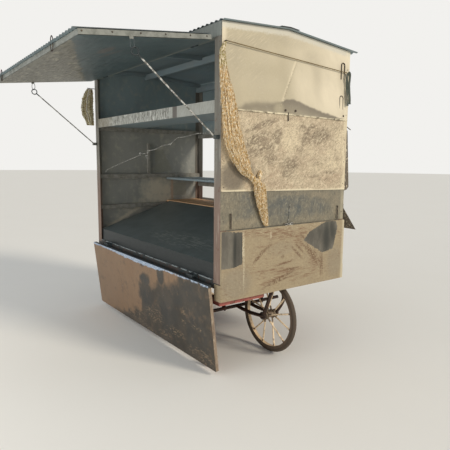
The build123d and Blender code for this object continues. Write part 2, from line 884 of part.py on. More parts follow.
with BuildPart() as awning_top_sheet:
    plane = Plane(
        origin=awning_plane.from_local_coords((0, -awning_start, frame_high + seat_gap)),
        x_dir=(1, 0, 0), z_dir=(0, -awning_cos, -awning_sin),
    )
    corrugated(
        plane, 2 * awning_half, awning_depth + awning_lip - awning_start,
        rib_pitch, rib_height, awning_sheet,
    )
finish(awning_top_sheet, "awning_top_sheet")

finish(
    fixed_hinges(
        awning_axis, awning_half, front_y,
        awning_axis[1] - barrel_radius, plate_top["serving"],
    ),
    "awning_hinges",
)

# Stays: ring-ended rods that swing on bolts at the posts
stay_plane_dir = (0, -sin(radians(stay_angle)), cos(radians(stay_angle)))
for sx, end_name in ((1, "near"), (-1, "far")):
    stay_x = cabin_x + sx * (half_length - stay_in)
    with BuildPart(Plane(origin=(stay_x, *stay_axis), x_dir=(1, 0, 0), z_dir=stay_plane_dir)) as stay:
        rod_start = (eye_radius + stay_bolt) / 2
        rod_run = stay_length - ring_radius - rod_start
        with Locations((0, 0, rod_start + rod_run / 2)):
            Cylinder(stay_radius, rod_run)
        with Locations(Location((0, 0, stay_length), (0, 90, 0))):
            Torus(ring_radius, ring_wire)
        bar_x(-eye_half, eye_half, 0, 0, eye_radius)
        bar_x(-2 * eye_half, 2 * eye_half, 0, 0, stay_bolt + bearing_gap, mode=Mode.SUBTRACT)
    finish(stay, f"stay_{end_name}")
    lug_x = stay_x + sx * (eye_half + stay_lug + arm_gap)
    with BuildPart() as stay_bracket:
        block(
            lug_x, lug_x - sx * stay_lug, front_y - stay_pivot_out - eye_radius, front_y,
            stay_axis[1] - eye_radius, stay_axis[1] + eye_radius,
        )
        bar_x(lug_x, stay_x - sx * (eye_half + bolt_over), *stay_axis, stay_bolt)
    finish(stay_bracket, f"stay_bracket_{end_name}")

# Serving flap: a sheet on a steel frame, hinged at the edge of the deck
lean = radians(flap_lean)
flap_plane = Plane(origin=(cabin_x, *flap_axis), x_dir=(1, 0, 0), z_dir=(0, -cos(lean), -sin(lean)))
flap_half = half_length - flap_inset
flap_front = flap_back + flap_frame
with BuildPart(flap_plane) as flap_frame_part:
    for sx in (-1, 1):
        block(
            sx * flap_half, sx * (flap_half - flap_edge), -flap_length, -flap_start,
            flap_back, flap_front,
        )
    for y0 in (-flap_length, -flap_start - flap_edge):
        block(-flap_half, flap_half, y0, y0 + flap_edge, flap_back, flap_front)
    for i in range(1, awning_bays):
        x = -flap_half + i * 2 * flap_half / awning_bays
        block(x - flap_edge / 2, x + flap_edge / 2, -flap_length, -flap_start, flap_back, flap_front)
    moving_barrels(flap_half, arm_wall, -flap_start - flap_edge, flap_back - arm_wall / 2)
finish(flap_frame_part, "flap_frame")

with BuildPart(flap_plane) as flap_sheet_part:
    block(
        -flap_half, flap_half, -flap_length, -flap_start,
        flap_front + seat_gap, flap_front + seat_gap + flap_sheet,
    )
finish(flap_sheet_part, "flap_sheet")

finish(
    fixed_hinges(flap_axis, flap_half, front_y, bearer_bottom, deck_top), "flap_hinges"
)

# End drop flap below the band, hinged at its foot below the deck
skirt_x, skirt_z = skirt_axis
with BuildPart() as end_flap:
    x0 = near_x + skirt_stand
    x1 = x0 + skirt_depth
    top = band_bottom - skirt_play
    block(x1 - sheet_wall, x1, front_y, back_y, skirt_bottom, top)
    for y0 in (front_y, back_y - skirt_edge):
        block(x0, x1, y0, y0 + skirt_edge, skirt_z + skirt_start, top)
    for z0 in (skirt_z + skirt_start, top - skirt_edge):
        block(x0, x1, front_y, back_y, z0, z0 + skirt_edge)
    for y0 in (front_y - skirt_stand - sheet_wall, back_y + skirt_stand + sheet_wall):
        block(near_x - skirt_return, x1, y0, y0 + sheet_wall, skirt_bottom, skirt_return_top)
    for y0, y1 in (
        (front_y - skirt_stand - sheet_wall, front_y),
        (back_y, back_y + skirt_stand + 2 * sheet_wall),
    ):
        block(x1 - sheet_wall, x1, y0, y1, skirt_bottom, skirt_return_top)
    for y in skirt_hinge_y:
        half = barrel_length / 2
        with Locations(Location((skirt_x, y, skirt_z), (90, 0, 0))):
            Cylinder(skirt_barrel, barrel_length)
        block(skirt_x - skirt_barrel, x1, y - half, y + half, skirt_z, skirt_z + skirt_start)
        with Locations(Location((skirt_x, y, skirt_z), (90, 0, 0))):
            Cylinder(pin_radius + bearing_gap, 2 * barrel_length, mode=Mode.SUBTRACT)
finish(end_flap, "end_flap")

with BuildPart() as end_flap_hinges:
    half = barrel_length / 2 + arm_gap
    back_x = near_x - bearer_width + arm_wall
    for y in skirt_hinge_y:
        for y1 in (y - half, y + half + arm_wall):
            with BuildSketch(Plane.XZ.offset(-y1)):
                with BuildLine():
                    Polyline(
                        (back_x, bearer_bottom - seat_gap), (near_x - arm_wall, bearer_bottom - seat_gap),
                        (near_x - arm_wall, skirt_z + skirt_barrel), (skirt_x, skirt_z + skirt_barrel),
                        (skirt_x, skirt_z - skirt_barrel), (back_x, skirt_z - skirt_barrel), close=True,
                    )
                make_face()
                with Locations((skirt_x, skirt_z)):
                    Circle(skirt_barrel)
            extrude(amount=arm_wall)
        rod((skirt_x, y - half - arm_wall, skirt_z), (skirt_x, y + half + arm_wall, skirt_z), pin_radius)
finish(end_flap_hinges, "end_flap_hinges")

# Hooks that hang on the band and hold the drop flap
with BuildPart() as band_hooks:
    for y in (front_y + hook_in, back_y - hook_in):
        hook_x = end_face_x + hook_radius + seat_gap
        top = band_bottom + skirt_play + hook_length
        rod((hook_x, y, band_bottom + skirt_play), (hook_x, y, top), hook_radius)
        rod(
            (near_x + sheet_wall + seat_gap, y, top - hook_radius),
            (hook_x, y, top - hook_radius), hook_radius,
        )
finish(band_hooks, "band_hooks")

# Bolts and a pin at the upper seam, a hasp rod on the band, two upturned wire hooks on the upper sheet
with BuildPart() as end_fittings:
    for y_in, up in bolt_places:
        start = Vector(end_face_x, back_y - y_in, upper_bottom + up)
        rod(start, start + Vector(bolt_height, 0, 0), bolt_head)
    pin_x = end_face_x + fitting_radius + seat_gap
    rod(*((pin_x, back_y - y_in, upper_bottom + up) for y_in, up in pin_places), fitting_radius)
    hasp_x = near_x + sheet_wall + seat_gap + fitting_radius
    rod(*((hasp_x, back_y - y_in, band_bottom + hasp_rise) for y_in in hasp_places), fitting_radius)
    hook_plane = Plane(origin=(pin_x, back_y, upper_bottom), x_dir=(0, 1, 0), z_dir=(1, 0, 0))
    for left, right, *shares in end_hooks:
        bend, left_foot, right_foot = (share * (back_eave - upper_bottom) for share in shares)
        with BuildLine(hook_plane) as hook_line:
            Line((-left, left_foot), (-left, bend))
            RadiusArc((-left, bend), (-right, bend), (left - right) / 2)
            Line((-right, bend), (-right, right_foot))
        foot = hook_plane.from_local_coords((-left, left_foot, 0))
        with BuildSketch(Plane(origin=foot, z_dir=(0, 0, 1))):
            Circle(fitting_radius)
        sweep(path=hook_line.line)
finish(end_fittings, "end_fittings")

# Corner flange screwed to the back wall, its foot bent out, with a stick pushed behind it
with BuildPart() as corner_flange:
    wall_y = back_y + sheet_wall + seat_gap
    corner_x = near_x - sheet_wall
    block(
        corner_x - flange_grip, corner_x, wall_y, wall_y + flange_sheet, flange_foot, flange_head,
    )
    with BuildSketch(Plane.YZ.offset(corner_x - flange_sheet)):
        with BuildLine():
            (foot_out, foot_up), (knee_out, knee_up), (head_out, head_up) = flange_reach
            Polyline(
                (wall_y, flange_foot), (wall_y + foot_out, flange_foot + foot_up),
                (wall_y + knee_out, flange_foot + knee_up), (wall_y + head_out, flange_head + head_up),
                (wall_y, flange_head), close=True,
            )
        make_face()
    extrude(amount=flange_sheet)
    rod(
        *((corner_x - flange_sheet, wall_y + out, flange_head + up) for out, up in stick_reach),
        fitting_radius,
    )
finish(corner_flange, "corner_flange")

# Folding prop leg below the near serving corner
leg_x, leg_z = leg_axis
leg_y = front_y + side_rail_in
with BuildPart() as prop_leg:
    half = leg_size / 2
    block(leg_x - half, leg_x + half, leg_y - half, leg_y + half, leg_foot, leg_z + half)
    with Locations(Location((leg_x, leg_y, leg_z), (90, 0, 0))):
        Cylinder(pin_radius + bearing_gap, 2 * leg_size, mode=Mode.SUBTRACT)
finish(prop_leg, "prop_leg")

with BuildPart() as leg_bracket:
    for side in (-1, 1):
        y0 = leg_y + side * (leg_size / 2 + arm_gap)
        block(
            leg_x - barrel_radius, leg_x + barrel_radius, y0, y0 + side * arm_wall,
            leg_z - barrel_radius, rail_bottom,
        )
    pin_half = leg_size / 2 + arm_gap + arm_wall
    rod((leg_x, leg_y - pin_half, leg_z), (leg_x, leg_y + pin_half, leg_z), pin_radius)
finish(leg_bracket, "leg_bracket")

# Net curtain gathered at the near corner and drawn across the end wall
with BuildPart() as net_curtain:
    for y_in, share, half_width, half_depth in curtain_stations:
        with BuildSketch(Plane.XY.offset(curtain_top - share * curtain_hang)):
            with Locations((end_face_x + half_depth + seat_gap, front_y + y_in)):
                Ellipse(half_depth, half_width)
    loft(ruled=True)
finish(net_curtain, "net_curtain")

# Small gathered net at the far post
with BuildPart() as net_far:
    for y_out, drop, half_width, half_depth in far_net_stations:
        with BuildSketch(Plane.XY.offset(far_net_top - drop)):
            with Locations((far_x - far_net_in, front_y - y_out)):
                Ellipse(half_depth, half_width)
    loft(ruled=True)
finish(net_far, "net_far")

# Rope across the top of the end wall, between two eye hooks
with BuildPart() as end_rope:
    rod(*rope_ends, rope_radius)
finish(end_rope, "end_rope")

with BuildPart() as rope_hooks:
    for (x, y, z), side in zip(rope_ends, (-1, 1)):
        y0 = y + side * (rope_radius + seat_gap)
        rod((end_face_x, y0, z), (x + 2 * rope_radius, y0, z), rope_radius)
    hook_start = (far_x + rope_radius, front_y, far_hook_height)
    rod(hook_start, (far_x + rope_radius, front_y - far_hook_out, far_hook_height), rope_radius)
finish(rope_hooks, "rope_hooks")
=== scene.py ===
"""Dresses the street vendor's hand cart: finishes, dented sheets, gathered nets, ropes and small ironwork.

The frame's coordinates are kept: +X towards the closed end, -Y towards the serving side, metres.
"""
from math import atan2, cos, exp, hypot, pi, radians, sin

import bmesh
import bpy
from bpy.props import FloatProperty, FloatVectorProperty, IntProperty, PointerProperty
from mathutils import Matrix, Vector, noise


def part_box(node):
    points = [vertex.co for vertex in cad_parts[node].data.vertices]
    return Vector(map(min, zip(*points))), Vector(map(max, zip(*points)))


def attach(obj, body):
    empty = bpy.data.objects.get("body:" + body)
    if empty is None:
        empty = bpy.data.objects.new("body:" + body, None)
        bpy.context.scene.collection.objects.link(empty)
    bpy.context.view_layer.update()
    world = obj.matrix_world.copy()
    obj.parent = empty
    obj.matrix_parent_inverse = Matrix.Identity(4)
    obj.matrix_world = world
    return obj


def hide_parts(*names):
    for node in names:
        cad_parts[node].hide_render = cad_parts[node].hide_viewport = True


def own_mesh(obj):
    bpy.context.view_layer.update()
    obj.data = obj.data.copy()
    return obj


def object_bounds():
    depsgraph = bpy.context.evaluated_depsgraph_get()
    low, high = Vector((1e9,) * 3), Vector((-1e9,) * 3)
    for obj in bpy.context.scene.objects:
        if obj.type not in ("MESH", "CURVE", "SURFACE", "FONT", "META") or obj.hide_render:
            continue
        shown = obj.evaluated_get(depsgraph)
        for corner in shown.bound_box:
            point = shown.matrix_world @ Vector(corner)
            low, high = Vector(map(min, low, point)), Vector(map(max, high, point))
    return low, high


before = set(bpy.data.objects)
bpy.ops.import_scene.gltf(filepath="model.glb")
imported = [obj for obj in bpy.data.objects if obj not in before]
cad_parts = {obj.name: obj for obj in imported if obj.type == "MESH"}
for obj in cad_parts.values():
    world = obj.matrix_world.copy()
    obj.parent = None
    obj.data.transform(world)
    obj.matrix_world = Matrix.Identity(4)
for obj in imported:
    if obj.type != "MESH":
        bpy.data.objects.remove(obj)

bl_info = {
    "name": "Vending hand cart", "version": (1, 0, 0), "blender": (4, 5, 0),
    "location": "View3D > Sidebar > Hand cart",
    "description": "Builds the worn finishes, sheets, nets and ropes of a street vendor's hand cart",
    "category": "Object",
}

CAD_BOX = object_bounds()
MM = 0.001
AXES = {"X": Vector((1, 0, 0)), "Y": Vector((0, 1, 0)), "Z": Vector((0, 0, 1))}


def linear(code):
    """An sRGB hex colour as linear red, green, blue and alpha."""
    shares = [int(code[i:i + 2], 16) / 255 for i in (1, 3, 5)]
    return [s / 12.92 if s <= 0.04045 else ((s + 0.055) / 1.055) ** 2.4 for s in shares] + [1.0]


def shade(name, description, code):
    """A colour that a user may change."""
    return FloatVectorProperty(
        name=name, description=description, default=linear(code), subtype="COLOR", size=4, min=0, max=1,
    )


def size(name, description, millimetres):
    """A length that a user may change."""
    return FloatProperty(name=name, description=description, default=millimetres * MM, unit="LENGTH", min=0)


class CartSizes(bpy.types.PropertyGroup):
    """Sizes of the pieces that this script adds to the frame."""

    sheet_wall: size("Sheet thickness", "Thickness of the dented sheets", 0.9)
    buckle: size("Buckle", "How far the upper end sheet bulges above its seam", 11)
    dent: size("Dents", "Depth of the shallow dents in the wall sheets", 3.5)
    ripple: size("Ripple", "Depth of the ripples in the awning's tin", 4)
    rope: size("Rope diameter", "Diameter of the rope across the closed end", 7)
    rope_lay: size("Rope lay", "Length of one turn of the rope's strands", 34)
    net_mesh: size("Net mesh", "Width of one diamond of the netting, drawn coarse so that it shows", 9)
    nail_head: size("Nail head", "Diameter of the nail heads along the awning", 11)
    rivet_head: size("Rivet head", "Diameter of the rivets of the end sheets", 8)
    lens: FloatProperty(name="Lens", description="Focal length on a 36 mm sensor", default=37.49, min=10)
    net_folds: IntProperty(
        name="Net folds", description="Folds round the gathered curtain", default=13, min=5,
    )


class CartColours(bpy.types.PropertyGroup):
    """Colours of the finishes."""

    roof_tin: shade("Roof tin", "Dark weathered tin of the roof and awning", "#1D2325")
    roof_below: shade("Roof from below", "Slate grey inner side of the roof", "#88999F")
    rust: shade("Rust", "Dry brown rust", "#6A4632")
    dust: shade("Road dust", "Dry dust on every ledge", "#9C8A6C")
    chassis_red: shade("Chassis red", "Faded red paint of the chassis", "#B4635A")
    fork_steel: shade("Fork steel", "Blackened steel of the fork and axles", "#44352F")
    post_grey: shade("Post grey", "Grey paint on the posts", "#757269")
    post_brown: shade("Post brown", "Brown weathering low on the posts", "#826B5D")
    upper_sheet: shade("Upper sheet", "Sunlit upper sheet of the closed end", "#B8AD92")
    # Painted sunlit glow: the brightest cream of the upper sheet stands in for sunlight
    upper_clear: shade("Upper glow", "Brightest cream of the upper sheet", "#E6DAC0")
    upper_smudge: shade("Upper smudge", "Grey smudges on the upper sheet", "#A89E88")
    # Painted shade and reflection on the strip below the buckle
    upper_shadow: shade("Buckled strip", "Dull strip below the buckle", "#81786A")
    middle_sheet: shade("Middle sheet", "Cream of the middle sheet", "#C7B79B")
    middle_clear: shade("Middle cream", "Cleanest cream of the middle sheet", "#E0D0B0")
    middle_scuff: shade("Middle scuffs", "Scoured grey patches of the middle sheet", "#93856F")
    middle_stain: shade("Middle stain", "Pinkish stains of the middle sheet", "#BBA48A")
    scratch_dark: shade("Dark scratches", "Dirt in the scratches of the sheets", "#6A5B48")
    band_sheet: shade("Band", "Dull galvanised band", "#7F7969")
    band_dark: shade("Band dark", "Bare zinc of the band", "#5A5F5F")
    band_haze: shade("Band haze", "Dust film on the band", "#978C76")
    skirt_dust: shade("Skirt dust", "Dusty drop flap", "#A69679")
    skirt_grey: shade("Skirt grey", "Thinner, greyer dust of the drop flap", "#948975")
    skirt_scratch: shade("Skirt scratches", "Brown scrapes on the drop flap", "#80644B")
    # Painted dark reflection in two patches of the drop flap, with a darker streak of painted sheen
    bare_sheet: shade("Bare sheet", "Clean sheet where the dust is wiped off", "#605B52")
    bare_dark: shade("Bare sheet streak", "Darkest streak of the clean sheet", "#34352F")
    # Painted reflections on the serving flap: tan from the ground, dark elsewhere, and a bluish painted
    # highlight along its top
    flap_tan: shade("Flap tan", "Tan film on the serving flap", "#8B6F54")
    flap_dark: shade("Flap dark", "Clean dark part of the serving flap", "#433D34")
    flap_worn: shade("Flap worn edge", "Bluish worn line along the flap's top", "#93A9C4")
    tin_brown: shade("Awning tin", "Stained tin below the awning", "#757366")
    # Painted shade and dark reflection on the tin below the awning
    tin_slate: shade("Awning slate", "Dark tin below the awning", "#566669")
    # Painted lighter than the real sheet, to offset the shade inside the cabin
    inner_sheet: shade("Inner sheet", "Dark shiny sheet inside the cabin", "#93A3A6")
    inner_brown: shade("Inner brown", "Brown film inside the cabin", "#96938A")
    # A pale wash on the inner walls
    inner_dust: shade("Inner dust", "Dust low on the inner walls", "#D0C7B2")
    # Painted lighter than the real counter, to offset the shade inside the cabin
    counter: shade("Counter", "Dark greasy counter", "#5E6767")
    fascia: shade("Fascia", "Pale strip in front of the loft", "#A6A8A1")
    # Painted lighter than the real boards, as painted sunlight
    wood: shade("Old wood", "Orange brown boards", "#FFCB98")
    batten: shade("Cream frame", "Cream paint of the awning's frame", "#C6C0A8")
    bright_steel: shade("Bright steel", "Drawn steel of the stay rods", "#74736D")
    spokes: shade("Spokes", "Cream paint of the wheels", "#FFE7C2")
    rubber: shade("Rubber", "Grey tyre rubber", "#54483C")
    net_gold: shade("Net", "Golden netting", "#E6C387")
    net_light: shade("Net light", "Sunlit threads of the netting", "#FFF2D6")
    net_olive: shade("Olive net", "Olive netting at the far post and at the tie", "#B0A56C")
    rope: shade("Rope", "Twisted rope", "#6B5B3C")
    rag: shade("Rag", "Dark strip of cloth tied to the rope", "#4A5048")
    iron: shade("Iron", "Dark hooks and hinges", "#463C35")
    floor: shade("Floor", "Pale studio floor", "#E9E7E1")


# Materials


def add(tree, kind, inputs=None, **settings):
    """Add one node with its settings, and with the values and links of its inputs."""
    made = tree.nodes.new("ShaderNode" + kind)
    for key, value in settings.items():
        setattr(made, key, value)
    for key, value in (inputs or {}).items():
        if isinstance(value, bpy.types.NodeSocket):
            tree.links.new(value, made.inputs[key])
        else:
            made.inputs[key].default_value = value
    return made


class Recipe:
    """One material in the making; its masks and colours are outputs of its own nodes."""

    def __init__(self, name):
        self.material = bpy.data.materials.new(name)
        self.material.use_nodes = True
        self.tree = self.material.node_tree
        self.tree.nodes.clear()
        self.point = self.out("TexCoord", socket="Object")

    def out(self, kind, inputs=None, socket=0, **settings):
        """The output of one more node."""
        return add(self.tree, kind, inputs, **settings).outputs[socket]

    def math(self, operation, first, second):
        """Two values taken together."""
        return self.out("Math", {0: first, 1: second}, operation=operation)

    def both(self, first, second):
        """A mask where two masks meet."""
        return self.math("MULTIPLY", first, second)

    def between(self, value, start, stop, **settings):
        """A mask that goes from 0 to 1 as a value goes from start to stop."""
        return self.out("MapRange", {"Value": value, "From Min": start, "From Max": stop}, **settings)

    def part(self, vector, axis):
        """One part of a vector."""
        return self.out("SeparateXYZ", {0: vector}, axis)

    def reach(self, vector):
        """The length of a vector."""
        return self.out("VectorMath", {0: vector}, "Value", operation="LENGTH")

    def moved(self, middle, turn, unit):
        """The point as seen from a place, along turned axes and in other units."""
        return self.out(
            "Mapping", {"Vector": self.point, "Location": middle, "Rotation": turn, "Scale": unit},
            vector_type="TEXTURE",
        )

    def patches(self, across, low=0.48, high=0.6, stretch=(1, 1, 1), turn=(0, 0, 0), seed=0, detail=5):
        """A mask of patches so many millimetres across, drawn out along the turned axes by stretch."""
        place = self.moved((seed * 3.1, seed * 1.7, seed * 2.3), turn, [across * MM * s for s in stretch])
        grain = self.out("TexNoise", {"Vector": place, "Scale": 1, "Detail": detail, "Roughness": 0.62})
        return self.between(grain, low, high)

    def spot(self, middle, half):
        """A soft oval mask round a place, with its half sizes, all in millimetres."""
        place = self.moved([m * MM for m in middle], (0, 0, 0), [h * MM for h in half])
        return self.between(self.reach(place), 1.2, 0.6)

    def rising(self, axis, start, stop):
        """A mask that goes from 0 to 1 between two places on an axis, in metres."""
        return self.between(self.part(self.point, axis), start, stop, interpolation_type="SMOOTHSTEP")

    def facing(self, axis, start, stop):
        """A mask of the faces that look along an axis of the piece itself, however it is turned."""
        return self.between(self.part(self.out("TexCoord", socket="Normal"), axis), start, stop)

    def marked(self, name):
        """The mask that a piece carries on its own points."""
        return self.out("Attribute", socket="Fac", attribute_name=name)

    def torn(self, name, across, seed, soft=0.12, stretch=(1, 1, 1), turn=(0, 0, 0)):
        """A piece's own mask with its edge torn by patches so many millimetres across."""
        edge = self.patches(across, 0.25, 0.75, stretch, turn, seed, 8)
        return self.between(self.math("ADD", self.marked(name), edge), 1 - soft, 1 + soft)

    def colour(self, value):
        """A colour by its code or by its name among the user's colours, or one already mixed."""
        if not isinstance(value, str):
            return value
        return linear(value) if value[0] == "#" else getattr(bpy.context.scene.cart_colours, value)[:]

    def coats(self, base, *layers):
        """Lay colours over a base; a layer is its mask, its strength if less than 1, and its colour."""
        colour = self.colour(base)
        for mask, *strength, over in layers:
            for share in strength:
                mask = self.both(mask, share)
            colour = self.out("Mix", {0: mask, 6: colour, 7: self.colour(over)}, 2, data_type="RGBA")
        return colour

    def close(self, colour, roughness, relief=None, depth=0.3, **sockets):
        """Close the material with its shader; relief is a height and depth its millimetres."""
        sockets.update({"Base Color": colour, "Roughness": roughness})
        if relief is not None:
            sockets["Normal"] = self.out("Bump", {"Height": relief, "Distance": depth * MM, "Strength": 1})
        add(self.tree, "OutputMaterial", {0: self.out("BsdfPrincipled", sockets)})


def weathered_tin(mix):
    """Rolled roof tin, left out for years: dull, dark, dusted, rusty at its laps, slate grey from below."""
    rust = mix.patches(240, 0.6, 0.7, seed=1)
    dust = mix.patches(420, 0.42, 0.75, seed=2)
    specks = mix.patches(14, 0.64, 0.7, seed=3)
    soot = mix.patches(300, 0.4, 0.7, seed=61)
    below = mix.coats("roof_below", (soot, 0.35, "inner_brown"))
    colour = mix.coats(
        "roof_tin", (dust, 0.25, "dust"), (rust, 0.5, "rust"), (specks, 0.4, "rust"),
        (mix.facing("Z", 0.1, -0.1), below),
    )
    mix.close(colour, 0.55, mix.patches(60, 0.2, 0.8, seed=4), 1.2, Metallic=0.2)


def faded_red_paint(mix):
    """Brushed red oxide paint on steel tube: chalky, chipped to rust, brown with dust."""
    chips = mix.patches(45, 0.56, 0.62, seed=5)
    dust = mix.patches(160, 0.4, 0.8, seed=6)
    colour = mix.coats("chassis_red", (dust, 0.4, "dust"), (chips, 0.85, "rust"))
    mix.close(colour, 0.7, chips, 0.4)


def blackened_steel(mix):
    """Forged and oiled steel of the fork, axles and hinges: almost black, rubbed brown, gritty."""
    rust = mix.patches(38, 0.45, 0.65, seed=7)
    dust = mix.patches(12, 0.58, 0.72, seed=8)
    colour = mix.coats("fork_steel", (rust, 0.55, "rust"), (dust, 0.5, "dust"))
    mix.close(colour, 0.6, rust, 0.5, Metallic=0.35)


def smoked_iron(mix):
    """Bent iron wire below the awning, smoked slate grey."""
    soot = mix.patches(12, 0.42, 0.62, seed=114)
    colour = mix.coats("#4A5355", (soot, 0.6, "#2E3436"))
    mix.close(colour, 0.6, soot, 0.2, Metallic=0.2)


def dark_iron(mix):
    """Bent iron of the small hooks and hasps: dark brown with bright rubs."""
    rub = mix.patches(16, 0.55, 0.68, seed=9)
    colour = mix.coats("iron", (rub, 0.6, "dust"))
    mix.close(colour, 0.5, rub, 0.3, Metallic=0.5)


def weathered_angle_paint(mix):
    """Grey paint on rolled steel angle: run streaks, brown and rusty towards the foot."""
    low = mix.rising("Z", 1.55, 1.05)
    streaks = mix.patches(18, 0.42, 0.7, (1, 1, 14), seed=10)
    pale = mix.patches(26, 0.55, 0.66, (1, 1, 8), seed=60)
    rust = mix.patches(30, 0.62, 0.68, seed=11)
    colour = mix.coats(
        "post_grey", (low, "post_brown"), (streaks, 0.35, "#5E564E"), (pale, 0.35, "#B9B3A6"),
        (rust, 0.6, "rust"),
    )
    mix.close(colour, 0.6, streaks, 0.4, Metallic=0.1)


def smoky_steel(mix):
    """Steel of the roof frame, loft and upper shelf: slate grey with a smoky film, hardly any mark."""
    film = mix.patches(190, 0.4, 0.7, seed=62)
    rust = mix.patches(22, 0.62, 0.68, seed=63)
    colour = mix.coats("roof_below", (film, 0.4, "inner_brown"), (rust, 0.3, "rust"))
    mix.close(colour, 0.6, rust, 0.2, Metallic=0.1)


def browned_girt_steel(mix):
    """Flat steel of the inner girts: the same brown film as the wall behind, dull, hardly lighter."""
    film = mix.patches(60, 0.4, 0.66, seed=107, detail=7)
    colour = mix.coats("inner_brown", (film, 0.6, "#565349"))
    mix.close(colour, 0.6, film, 0.2, Metallic=0.1)


def bare_eave_board(mix):
    """Board under the eave: weathered blue grey with faint runs."""
    runs = mix.patches(30, 0.42, 0.66, (1, 1, 5), seed=108, detail=7)
    colour = mix.coats("#858A84", (runs, 0.5, "#686E6B"))
    mix.close(colour, 0.7, runs, 0.2)


def dark_deck_edge(mix):
    """Deck frame and boards: nearly black, a painted shade of the recess under the counter, with rust grime
    and a dotted painted highlight along the serving edge.
    """
    grime = mix.patches(40, 0.42, 0.65, seed=64)
    # A dotted painted highlight along the serving edge
    line = mix.both(mix.rising("Z", 0.673, 0.676), mix.patches(26, 0.42, 0.5, (2.5, 1, 1), seed=65))
    # The nearly black base is painted shade of the recess under the counter
    colour = mix.coats("#353D3D", (grime, 0.4, "rust"), (line, 0.9, "#B4BDBE"))
    mix.close(colour, 0.6, grime, 0.4, Metallic=0.2)


def sunlit_galvanised_sheet(mix):
    """Galvanised sheet gone cream with dust film: painted sunlit glow to the right, painted shade and
    reflection below its buckle, painted highlight and shade on its crease and lip, a painted highlight on
    its back edge.
    """
    smear = mix.patches(110, 0.42, 0.7, (1, 1, 1.6), (radians(30), 0, 0), seed=12, detail=7)
    grain = mix.patches(5, 0.35, 0.65, seed=66, detail=2)
    grit = mix.patches(7, 0.62, 0.72, seed=14, detail=3)
    # Specks for the crease: the pale ones are painted highlights, the dark ones painted shade
    specks = mix.patches(9, 0.54, 0.58, seed=67, detail=3)
    dark_specks = mix.patches(11, 0.52, 0.58, seed=90, detail=3)
    crease = mix.marked("crease")
    rim = mix.torn("rim", 14, 15, 0.3)
    # Painted highlight in dashes on the lower lip, and painted shadow in the gaps between them
    lip = mix.both(mix.marked("lip"), mix.patches(46, 0.40, 0.5, (1, 1.8, 1), seed=68))
    lip_shadow = mix.both(mix.marked("lip"), mix.patches(40, 0.5, 0.42, (1, 1.8, 1), seed=68))
    # Painted highlight along the back edge
    right = mix.both(mix.rising("Y", 0.915, 0.95), mix.patches(30, 0.35, 0.55, (1, 1, 4), seed=69))
    scratch = mix.both(
        mix.marked("grey"), mix.patches(9, 0.54, 0.6, (1, 7, 0.6), (radians(38), 0, 0), seed=91),
    )
    # Painted light in these coats: the clear glow, the dull strip below the buckle, the bright back edge,
    # and the painted highlight and shade on the crease and lip
    colour = mix.coats(
        "upper_sheet", (mix.marked("clear"), "upper_clear"), (mix.marked("grey"), 0.6, "upper_smudge"),
        (smear, 0.2, "upper_smudge"), (grain, 0.12, "upper_clear"),
        (mix.marked("dull"), 0.92, "upper_shadow"), (rim, 0.75, "#D2CFC2"), (right, 0.5, "#F0E5C8"),
        (scratch, 0.4, "#DDD0B0"), (mix.both(crease, specks), 0.34, "#EFE4C6"),
        (mix.both(crease, dark_specks), 0.5, "#8A7F68"), (lip, 0.95, "#EDE1C2"), (lip_shadow, 0.8, "#5F5442"),
        (grit, 0.2, "middle_scuff"),
    )
    mix.close(colour, 0.5, smear, 0.3, Metallic=0.15)


def scoured_galvanised_sheet(mix):
    """The middle sheet, scoured by hands and loads: grey scuffs on a slant, pink stains, dark specks, and
    painted highlights on its lower lip and along its back edge.
    """
    rise, fall = (radians(32), 0, 0), (radians(-24), 0, 0)
    scour = mix.torn("scour", 46, 16, 0.2, (1, 1.8, 0.9), rise)
    clear = mix.torn("clear", 50, 17, 0.35)
    stain = mix.both(mix.marked("stain"), mix.patches(60, 0.38, 0.6, seed=18, detail=8))
    wander = mix.patches(120, 0.44, 0.62, seed=70, detail=8)
    blotch = mix.patches(70, 0.50, 0.58, (1, 1.6, 1), rise, seed=109, detail=8)
    cream = mix.patches(48, 0.54, 0.60, (1, 1.5, 1), rise, seed=110, detail=8)
    chips = mix.patches(12, 0.53, 0.57, (1, 2.4, 0.8), rise, seed=111, detail=4)
    fleck = mix.patches(14, 0.56, 0.60, (1, 1.8, 1), rise, seed=118, detail=5)
    mote = mix.patches(15, 0.56, 0.61, (1, 2, 1), rise, seed=119, detail=5)
    strokes = mix.patches(13, 0.50, 0.60, (1, 3.4, 0.7), rise, seed=19, detail=7)
    strokes_down = mix.patches(13, 0.55, 0.62, (1, 3.4, 0.7), fall, seed=71, detail=7)
    speck = mix.patches(8, 0.56, 0.63, seed=20, detail=2)
    near_scour = mix.out("MapRange", {"Value": mix.marked("scour"), "To Min": 0.25})
    pale = mix.patches(9, 0.55, 0.62, (1, 1.6, 1), rise, seed=72, detail=4)
    # Painted highlights on the lower lip and along the back edge
    lip = mix.both(mix.marked("lip"), mix.patches(120, 0.38, 0.46, (1, 1.6, 1), seed=73))
    right = mix.both(mix.rising("Y", 0.925, 0.955), mix.patches(24, 0.35, 0.5, (1, 1, 5), seed=74))
    colour = mix.coats(
        "middle_sheet", (wander, 0.4, "middle_stain"), (stain, 0.7, "middle_stain"),
        (scour, 0.8, "middle_scuff"), (mix.both(near_scour, blotch), 0.55, "#A18F78"),
        (clear, 0.8, "middle_clear"), (cream, 0.5, "#E6D6B8"),
        (mix.both(near_scour, chips), 0.5, "#5C4C3B"),
        (mix.both(near_scour, strokes), 0.75, "scratch_dark"),
        (mix.both(near_scour, pale), 0.75, "#E3D4B4"), (strokes_down, 0.3, "middle_scuff"),
        (speck, 0.5, "scratch_dark"), (fleck, 0.35, "#EFE0C2"), (mote, 0.35, "#8C7B65"),
        # The last two coats are painted highlights along the back edge and on the lower lip
        (mix.marked("dull"), 0.85, "#6E6557"), (right, 0.6, "#E9DCBC"), (lip, 0.9, "#E3D8BA"),
    )
    mix.close(colour, 0.58, strokes, 0.4, Metallic=0.1)


